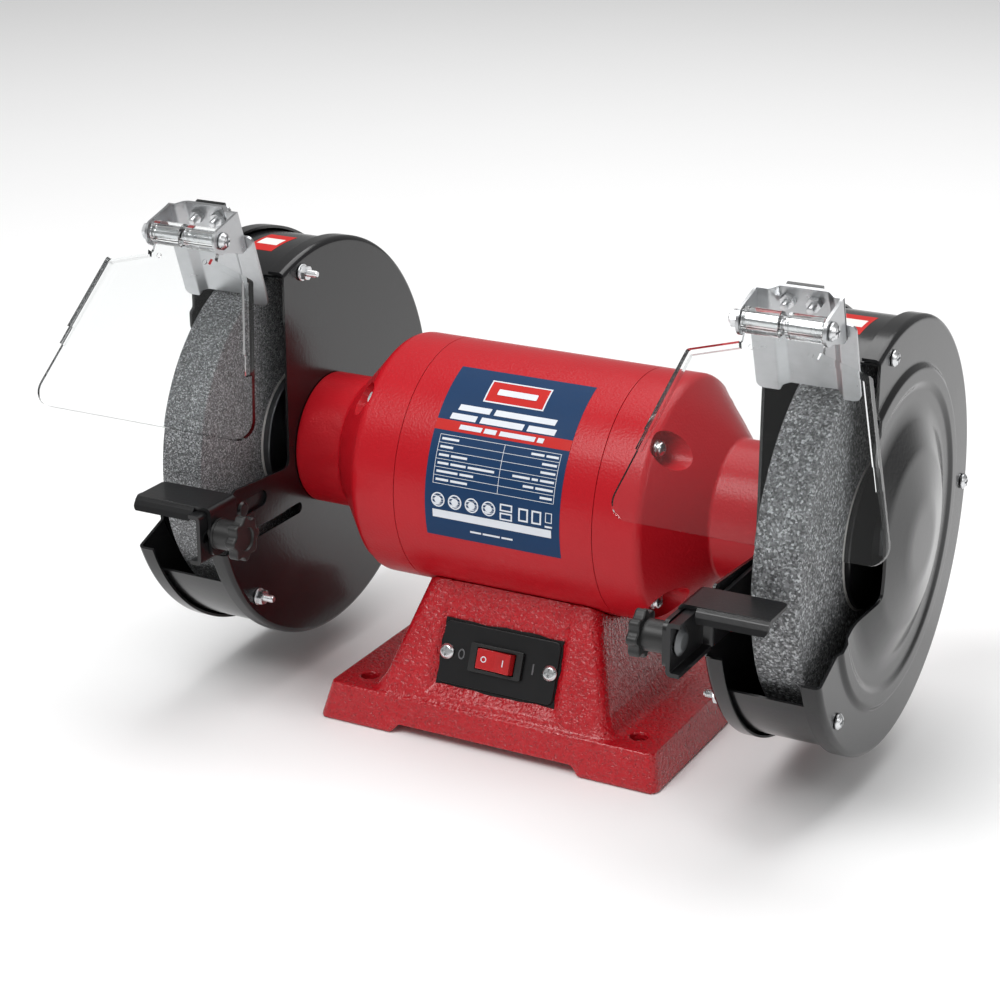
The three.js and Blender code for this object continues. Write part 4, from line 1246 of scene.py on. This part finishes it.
def build_arm(end):
    web = ARM_WEB_X
    thick = 2.2
    top = ARM_TOP
    low_z = ARM_LOW
    front = end.arm_front
    y0 = AXIS.y
    section = [
        (web + 7, top - thick), (web + 7, top), (web, top, 2.6), (web, low_z, 2.6), (web + 7, low_z),
        (web + 7, low_z + thick), (web + thick, low_z + thick, 0.8), (web + thick, top - thick, 0.8),
    ]
    channel = prism(end.node("rest_channel"), rounded(section), front, y0 - 108.5, "Y", end.hand)
    inside = PAN_X + SHEET + 0.4
    line = [
        (web, y0 - 109), (web, y0 - 106), (inside, y0 - 103.6), (inside, y0 - 45),
    ]
    tongue = prism("tongue", strip(line, -thick, 1.5), low_z, top - 4, "Z", end.hand)
    join(channel, tongue)
    travel = prism(
        "travel", slot(end.slot_front, end.stud.y + 6, end.stud.z, 3.4), web - 2, web + thick + 2, "X", end.hand
    )
    nose = (y0 - 91, 120)
    cut(channel, travel, rod("fixing", 3.2, inside - 2, inside + thick + 2, nose, end.hand))
    soften(channel, 0.35)
    settle(channel, "root", finish("satin"), [end.node("tool_rest_arm")])
    tip = inside + thick + 3
    head = [
        (0, PAN_X - 1.4), (3.6, PAN_X - 1.4, 0.8), (5.2, PAN_X + 0.9, 0.4), (3.0, PAN_X + 0.9), (3.0, tip),
        (0, tip),
    ]
    bolt = turned(end.node("arm_bolt"), rounded(head, closed=False), end.hand, 40, nose)
    nut = hex_head("nut", 5.6, inside + thick + 0.1, inside + thick + 3.4, nose, end.hand, 0.2)
    settle(join(bolt, nut), "root", finish("satin"))


def build_rest(end):
    inner = low("tool_rest_right").x
    thick = 2.2
    outer = inner + thick
    base = 106
    top = REST_TOP
    back = AXIS.y - 104
    front = AXIS.y - 128
    lip_low = top - 7.6
    section = [
        (inner, top - 8), (inner, top, 3.4), (180, top, 0.5), (180, top - thick, 0.5),
        (outer, top - thick, 1.2), (outer, top - 8),
    ]
    table = prism(end.node("rest_table"), rounded(section, steps=6), front, back, "Y", end.hand)
    if end.leg_front < front - 6:
        leg = [
            (back, top - 4), (back, base, 5), (end.leg_front, base, 5), (end.leg_front, top - 3, 5),
            (front - 0.01, top - 3, 1),
        ]
    else:
        leg = [(back, top - 4), (back, base, 5), (front, base, 5), (front, top - 4)]
    leg_plate = prism("leg", rounded(leg, steps=6), inner, outer, "X", end.hand)
    line = [
        (front + 4, top), (front + 0.6, top), (front - 1.6, top - 1.9), (front - 3.1, top - 4.4),
        (front - 4.1, top - 7.2),
    ]
    lip = prism("lip", strip(line, thick, 2.5), 143, 180, "X", end.hand)
    shape = [(143, top + 5), (143, lip_low, 3.2), (180, lip_low, 3.2), (180, top + 5)]
    trim = prism("trim", rounded(shape, steps=6), front - 12, front + 3.9, "Y", end.hand)
    combine(lip, [trim], "INTERSECT")
    join(table, leg_plate, lip)
    hole = prism("hole", circle(end.stud.y, end.stud.z, 3.3), inner - 2, outer + 2, "X", end.hand)
    corner = [(176.5, back - 3.5), (180.5, back - 3.5), (180.5, back + 1), (176.5, back + 1)]
    corner_cut = prism("corner", corner, top - 5, top + 2, "Z", end.hand)
    corner_fill = prism("post", circle(176.5, back - 3.5, 3.5, 32), top - 6, top + 3, "Z", end.hand)
    cut(corner_cut, corner_fill)
    cut(table, hole, corner_cut)
    soften(table, 0.45)
    body = end.node("tool_rest")
    settle(table, body, finish("satin"), [body])
    build_stud(end, body)
    build_knob(end, inner)


def build_stud(end, body):
    back = ARM_WEB_X + 2.5
    centre = (end.stud.y, end.stud.z)
    dome = [
        (0, 118.5), (3, 118.5, 0.5), (3, back), (7.5, back, 0.2), (7.5, back + 0.7, 0.3), (4.6, back + 2.4, 2.5),
        (0, back + 2.8),
    ]
    stud = turned(end.node("rest_stud"), rounded(dome, closed=False), end.hand, 48, centre)
    settle(stud, body, finish("dark_steel"), [end.node("rest_bolt")])


def build_knob(end, leg_inner):
    face = leg_inner - 0.3
    y, z = end.stud.y, end.stud.z
    lobes = 8
    outline = []
    for i in range(160):
        angle = 2 * math.pi * i / 160
        wave = math.cos(lobes * angle)
        radius = 11.35 + 1.05 * math.copysign(abs(wave) ** 0.75, wave)
        outline.append((y + radius * math.cos(angle), z + radius * math.sin(angle)))
    head = prism(end.node("star_knob"), outline, 115, 121, "X", end.hand)
    soften(head, 1.1, 4, 45)
    hub = turned(
        "hub",
        rounded(
            [(0, 119), (8, 119), (8, face - 1.6, 0.5), (8.6, face - 1.6), (8.6, face, 0.4), (0, face)], closed=False
        ),
        end.hand, 64, (y, z),
    )
    dish = turned("dish", [(0, 114), (7, 114), (6, 116), (0, 116)], end.hand, 64, (y, z))
    join(head, hub)
    cut(head, dish, rod("bore", 3.3, 117.5, face + 1, (y, z), end.hand))
    body = end.node("tool_rest_knob")
    settle(head, body, finish("black_plastic"), [body])


# ---------------------------------------------------------------- spark arrester, bracket and shield

UNIT_TILT = math.radians(19)


def stepped_section(x0, x1, c0, c1, front):
    """The plan of a sheet whose centre is set back, in (x, y), with rounded bends."""
    drop = 4
    line = [(x0, -front), (c0 - 4, -front), (c0, drop - front), (c1, drop - front), (c1 + 4, -front), (x1, -front)]
    return strip(line, SHEET, 2.2, 5)


def on_unit(end, obj):
    return tilted(obj, UNIT_TILT, (0, end.pivot.y + 20, end.pivot.z))


def build_arrester(end):
    inner = low("spark_arrester_right").x
    outer = high("spark_arrester_right").x
    foot = -46
    wing = -2.7
    relief = -43.6
    plan = stepped_section(inner, outer, *UNIT_STEP, 0)
    sheet = prism(end.node("arrester_sheet"), plan, foot, 12, "Z", end.hand)
    outline = [
        (inner, foot, 3.5), (157, foot, 1.5), (157, relief, 1.5), (188, relief, 1.5), (188, foot, 1.5),
        (outer, foot, 3.5), (outer, wing, 3.5), (188, wing), (188, 12), (157, 12), (157, wing), (inner, wing, 3.5),
    ]
    keep = prism("keep", rounded(outline, steps=6), -20, 20, "Y", end.hand)
    combine(sheet, [keep], "INTERSECT")
    slots = []
    for x in UNIT_SCREWS:
        slots.append(prism("slot", rectangle(2.4, 4.7, 2.3, x, 6), -20, 20, "Y", end.hand))
    cut(sheet, *slots)
    soften(sheet, 0.25)
    body = end.node("spark_arrester")
    settle(on_unit(end, sheet), body, finish("zinc"), [body])


def build_bracket(end):
    front = 0.3 + SHEET
    plan = stepped_section(149, 193, *UNIT_STEP, front)
    plate = prism(end.node("hinge_bracket"), plan, -10, 13, "Z", end.hand)
    holes = [
        prism("hole", circle(x, 6, 2.4), -20, 20, "Y", end.hand) for x in UNIT_SCREWS
    ]
    on_unit(end, cut(plate, *holes))
    hinge = (end.pivot.y, end.pivot.z)
    ear = [unit_point(end, front - 1, 13), unit_point(end, front + 3, 13)]
    ear += circle(*hinge, 7.4, 16, 120, 290)
    ear += [unit_point(end, front + 3, -10), unit_point(end, front - 1, -10)]
    ears = [prism("ear", ear, x, x + SHEET, "X", end.hand) for x in (149, 191.5)]
    join(plate, *ears)
    cut(plate, rod("pivot", 2.9, 140, 200, hinge, end.hand))
    soften(plate, 0.25)
    settle(plate, "root", finish("zinc"), [end.node("shield_bracket")])
    for number, x in enumerate(UNIT_SCREWS, 1):
        settle(on_unit(end, bracket_screw(end, number, x)), "root", finish("bright"))


def bracket_screw(end, number, x):
    """A screw through the strap, the arrester and the bracket, with its nut in front."""
    profile = [(0, -9.6), (4, -9.6, 0.8), (4, -8.0), (1.9, -8.0), (1.9, 5.2, 0.4), (0, 5.2)]
    bm = turned_mesh(rounded(profile, closed=False), 32, (0, 0))
    bmesh.ops.rotate(bm, verts=bm.verts, matrix=Matrix.Rotation(-math.pi / 2, 3, "Z"))
    bmesh.ops.translate(bm, verts=bm.verts, vec=(x, 0, 6))
    screw = make(end.node("bracket_screw_%d" % number), bm, end.hand)
    nut = prism("nut", [(x + u, 6 + v) for u, v in hexagon(3.8, 0.2 * number)], 2.1, -0.9, "Y", end.hand)
    return join(screw, nut)


def on_shield(end, obj):
    return tilted(obj, -end.shield_tilt, (WHEEL_X * end.hand, end.pivot.y, end.pivot.z))


def build_shield(end):
    back = 2.25 + 1.5
    face = back - 3
    shoulder = rounded(
        [(19.8, -10.7), (44.4, -17.7, 2.5), (60.4, -67.5), (57.5, -68.5), (42, -20.2, 1.2), (19, -13.7)], steps=6
    )
    half = [(19.8, -6), (19.8, -10.7, 2), (44.4, -17.7, 2.5), (71.0, -101.5, 9)]
    outline = rounded(half + [(-p[0], *p[1:]) for p in reversed(half)], steps=8)
    sheet = prism(end.node("clear_shield"), outline, face, back, "Y")
    parts = []
    for sign in (1, -1):
        tall = prism("rib", [(sign * u, v) for u, v in shoulder], face - 3.6, face + 1, "Y")
        step = prism("step", rectangle(7, 8.5, 0, sign * 57, -66.5), face - 9, face - 2, "Y")
        parts.append(cut(tall, step))
        parts.append(prism("pin_mark", circle(sign * 14.5, -12.2, 1.3, 20), face - 0.7, face + 1, "Y"))
    parts.append(prism("web", rectangle(19.8, 1.8, 0, 0, -6.2), face, back, "Y"))
    for start, stop in ((-19.9, -1.6), (1.6, 19.9)):
        ends = [(0, start), (6.3, start, 0.5), (6.3, stop, 0.5), (0, stop)]
        parts.append(turned("barrel", rounded(ends, closed=False), sides=64, centre=(0, 0)))
    join(sheet, *parts)
    cut(sheet, rod("bore", 2.9, -30, 30, (0, 0)))
    soften(sheet, 0.35, 2, 40)
    body = end.node("eye_shield")
    settle(on_shield(end, sheet), body, finish("clear"), [body])


def build_pivot(end):
    node = end.node("pivot_bolt")
    centre = (end.pivot.y, end.pivot.z)
    lo, hi = (149, 193) if end.hand > 0 else (-193, -149)
    dome = [
        (0, lo - 5.5), (2.5, lo - 5.5, 0.4), (2.5, hi + 0.3), (4.6, hi + 0.3, 0.2), (4.6, hi + 1.4, 0.6),
        (2.8, hi + 3.3, 1.4), (0, hi + 3.5),
    ]
    bolt = turned(end.node("hinge_bolt"), rounded(dome, closed=False), 1, 40, centre)
    cross = []
    for a, b in ((2.9, 0.6), (0.6, 2.9)):
        outline = [(centre[0] + u, centre[1] + v) for u, v in rectangle(a, b)]
        cross.append(prism("cross", outline, hi + 1.7, hi + 5, "X"))
    cut(bolt, *cross)
    join(bolt, hex_head("nut", 4.6, lo - 0.3, lo - 4.2, centre, 1, 0.4))
    settle(bolt, "root", finish("bright"), [node])


# ---------------------------------------------------------------- stage


def build_stage(stage):
    bpy.ops.mesh.primitive_plane_add(size=12, location=(0, 0, -0.0005))
    floor = bpy.context.object
    floor.name = "studio_floor"
    material, tree, shader = new_material("studio_paper", roughness=0.9)
    mask = shared(tree, "mottle", scale=6, contrast=0.4)
    tree.links.new(blend_colours(tree, mask, (0.93, 0.93, 0.93), (0.96, 0.96, 0.96)), shader.inputs["Base Color"])
    floor.data.materials.append(material)
    world = bpy.data.worlds.new("studio")
    world.use_nodes = True
    world.node_tree.nodes["Background"].inputs["Color"].default_value = (1, 1, 1, 1)
    world.node_tree.nodes["Background"].inputs["Strength"].default_value = 0.32
    bpy.context.scene.world = world
    lamps = (
        ("key_softbox", (-0.5, -1.5, 2.3), 1.3, 41),
        ("fill_softbox", (1.9, -0.5, 1.1), 1.2, 8),
        ("top_softbox", (0.1, 0.9, 2.6), 2.4, 50),
    )
    for name, place, size, power in lamps:
        data = bpy.data.lights.new(name, "AREA")
        data.shape = "SQUARE"
        data.size = size
        data.energy = power * stage.light
        lamp = bpy.data.objects.new(name, data)
        lamp.location = place
        lamp.rotation_euler = (Vector((0, 0, 0.12)) - Vector(place)).to_track_quat("-Z", "Y").to_euler()
        bpy.context.scene.collection.objects.link(lamp)
    data = bpy.data.cameras.new("camera")
    data.lens = stage.lens
    data.sensor_width = 36
    camera = bpy.data.objects.new("camera", data)
    back = Vector((
        math.sin(stage.azimuth) * math.cos(stage.elevation),
        -math.cos(stage.azimuth) * math.cos(stage.elevation),
        math.sin(stage.elevation),
    ))
    aim = Vector((-29.7, AXIS.y, 114.2)) * MM
    camera.location = aim + back * stage.distance
    camera.rotation_euler = back.to_track_quat("Z", "Y").to_euler()
    bpy.context.scene.collection.objects.link(camera)
    bpy.context.scene.camera = camera
    bpy.context.scene.view_settings.view_transform = "Standard"


# ---------------------------------------------------------------- operators


class GrinderOperator:
    """Shared settings of the building steps."""

    bl_options = {"REGISTER", "UNDO"}


class GRINDER_OT_base(GrinderOperator, bpy.types.Operator):
    """Build the cast base"""

    bl_idname = "grinder.base"
    bl_label = "Base casting"

    def execute(self, context):
        build_base(context.scene.grinder_sizes)
        repaint(["cable_gland", "capacitor"], "black_plastic")
        return {"FINISHED"}


class GRINDER_OT_switch(GrinderOperator, bpy.types.Operator):
    """Build the switch plate, bezel, rocker and screws"""

    bl_idname = "grinder.switch"
    bl_label = "Switch"

    def execute(self, context):
        build_switch()
        return {"FINISHED"}


class GRINDER_OT_motor(GrinderOperator, bpy.types.Operator):
    """Build the motor tube, end bells and tie bolts"""

    bl_idname = "grinder.motor"
    bl_label = "Motor"

    def execute(self, context):
        build_shell()
        for end in ENDS:
            build_bell(end)
        build_tie_bolts()
        repaint(["stator_core", "rotor_core"], "dark_steel")
        repaint(["winding_left", "winding_right"], "copper")
        repaint(["bearing_left", "bearing_right"], "bright")
        return {"FINISHED"}


class GRINDER_OT_label(GrinderOperator, bpy.types.Operator):
    """Build the plain rating label"""

    bl_idname = "grinder.label"
    bl_label = "Label"

    def execute(self, context):
        build_label()
        return {"FINISHED"}


class GRINDER_OT_wheels(GrinderOperator, bpy.types.Operator):
    """Build the spindle, wheels, flanges and nuts"""

    bl_idname = "grinder.wheels"
    bl_label = "Spindle and wheels"

    def execute(self, context):
        build_shaft()
        for end in ENDS:
            build_wheel(end, context.scene.grinder_sizes)
            build_flanges(end)
        return {"FINISHED"}


class GRINDER_OT_guards(GrinderOperator, bpy.types.Operator):
    """Build the guards and their screws"""

    bl_idname = "grinder.guards"
    bl_label = "Guards"

    def execute(self, context):
        for end in ENDS:
            build_inner_pan(end, context.scene.grinder_sizes)
            build_band(end)
            build_cover(end, context.scene.grinder_sizes)
            build_cover_screws(end)
        return {"FINISHED"}


class GRINDER_OT_rests(GrinderOperator, bpy.types.Operator):
    """Build the tool rests, arms and knobs"""

    bl_idname = "grinder.rests"
    bl_label = "Tool rests"

    def execute(self, context):
        for end in ENDS:
            build_arm(end)
            build_rest(end)
        return {"FINISHED"}


class GRINDER_OT_shields(GrinderOperator, bpy.types.Operator):
    """Build the spark arresters, brackets and eye shields"""

    bl_idname = "grinder.shields"
    bl_label = "Eye shields"

    def execute(self, context):
        for end in ENDS:
            build_arrester(end)
            build_bracket(end)
            build_shield(end)
            build_pivot(end)
        return {"FINISHED"}


class GRINDER_OT_stage(GrinderOperator, bpy.types.Operator):
    """Build the floor, lights and camera"""

    bl_idname = "grinder.stage"
    bl_label = "Stage"

    def execute(self, context):
        build_stage(context.scene.grinder_stage)
        return {"FINISHED"}


OPERATORS = (
    GRINDER_OT_base, GRINDER_OT_switch, GRINDER_OT_motor, GRINDER_OT_label, GRINDER_OT_wheels,
    GRINDER_OT_guards, GRINDER_OT_rests, GRINDER_OT_shields, GRINDER_OT_stage,
)


class GRINDER_PT_panel(bpy.types.Panel):
    """Sizes, colours and building steps of the bench grinder"""

    bl_idname = "GRINDER_PT_panel"
    bl_label = "Bench Grinder"
    bl_space_type = "VIEW_3D"
    bl_region_type = "UI"
    bl_category = "Bench Grinder"

    def draw(self, context):
        column = self.layout.column()
        for group in (context.scene.grinder_sizes, context.scene.grinder_colours, context.scene.grinder_stage):
            for name in group.__annotations__:
                column.prop(group, name)
        for operator in OPERATORS:
            column.operator(operator.bl_idname)


CLASSES = (GRINDER_PG_sizes, GRINDER_PG_colours, GRINDER_PG_stage, *OPERATORS, GRINDER_PT_panel)


def register():
    for item in CLASSES:
        bpy.utils.register_class(item)
    bpy.types.Scene.grinder_sizes = bpy.props.PointerProperty(type=GRINDER_PG_sizes)
    bpy.types.Scene.grinder_colours = bpy.props.PointerProperty(type=GRINDER_PG_colours)
    bpy.types.Scene.grinder_stage = bpy.props.PointerProperty(type=GRINDER_PG_stage)


def unregister():
    del bpy.types.Scene.grinder_stage
    del bpy.types.Scene.grinder_colours
    del bpy.types.Scene.grinder_sizes
    for item in reversed(CLASSES):
        bpy.utils.unregister_class(item)


def main():
    register()
    bpy.ops.grinder.base()
    bpy.ops.grinder.switch()
    bpy.ops.grinder.motor()
    bpy.ops.grinder.label()
    bpy.ops.grinder.wheels()
    bpy.ops.grinder.guards()
    bpy.ops.grinder.rests()
    bpy.ops.grinder.shields()
    bpy.ops.grinder.stage()


if __name__ == "__main__":
    main()
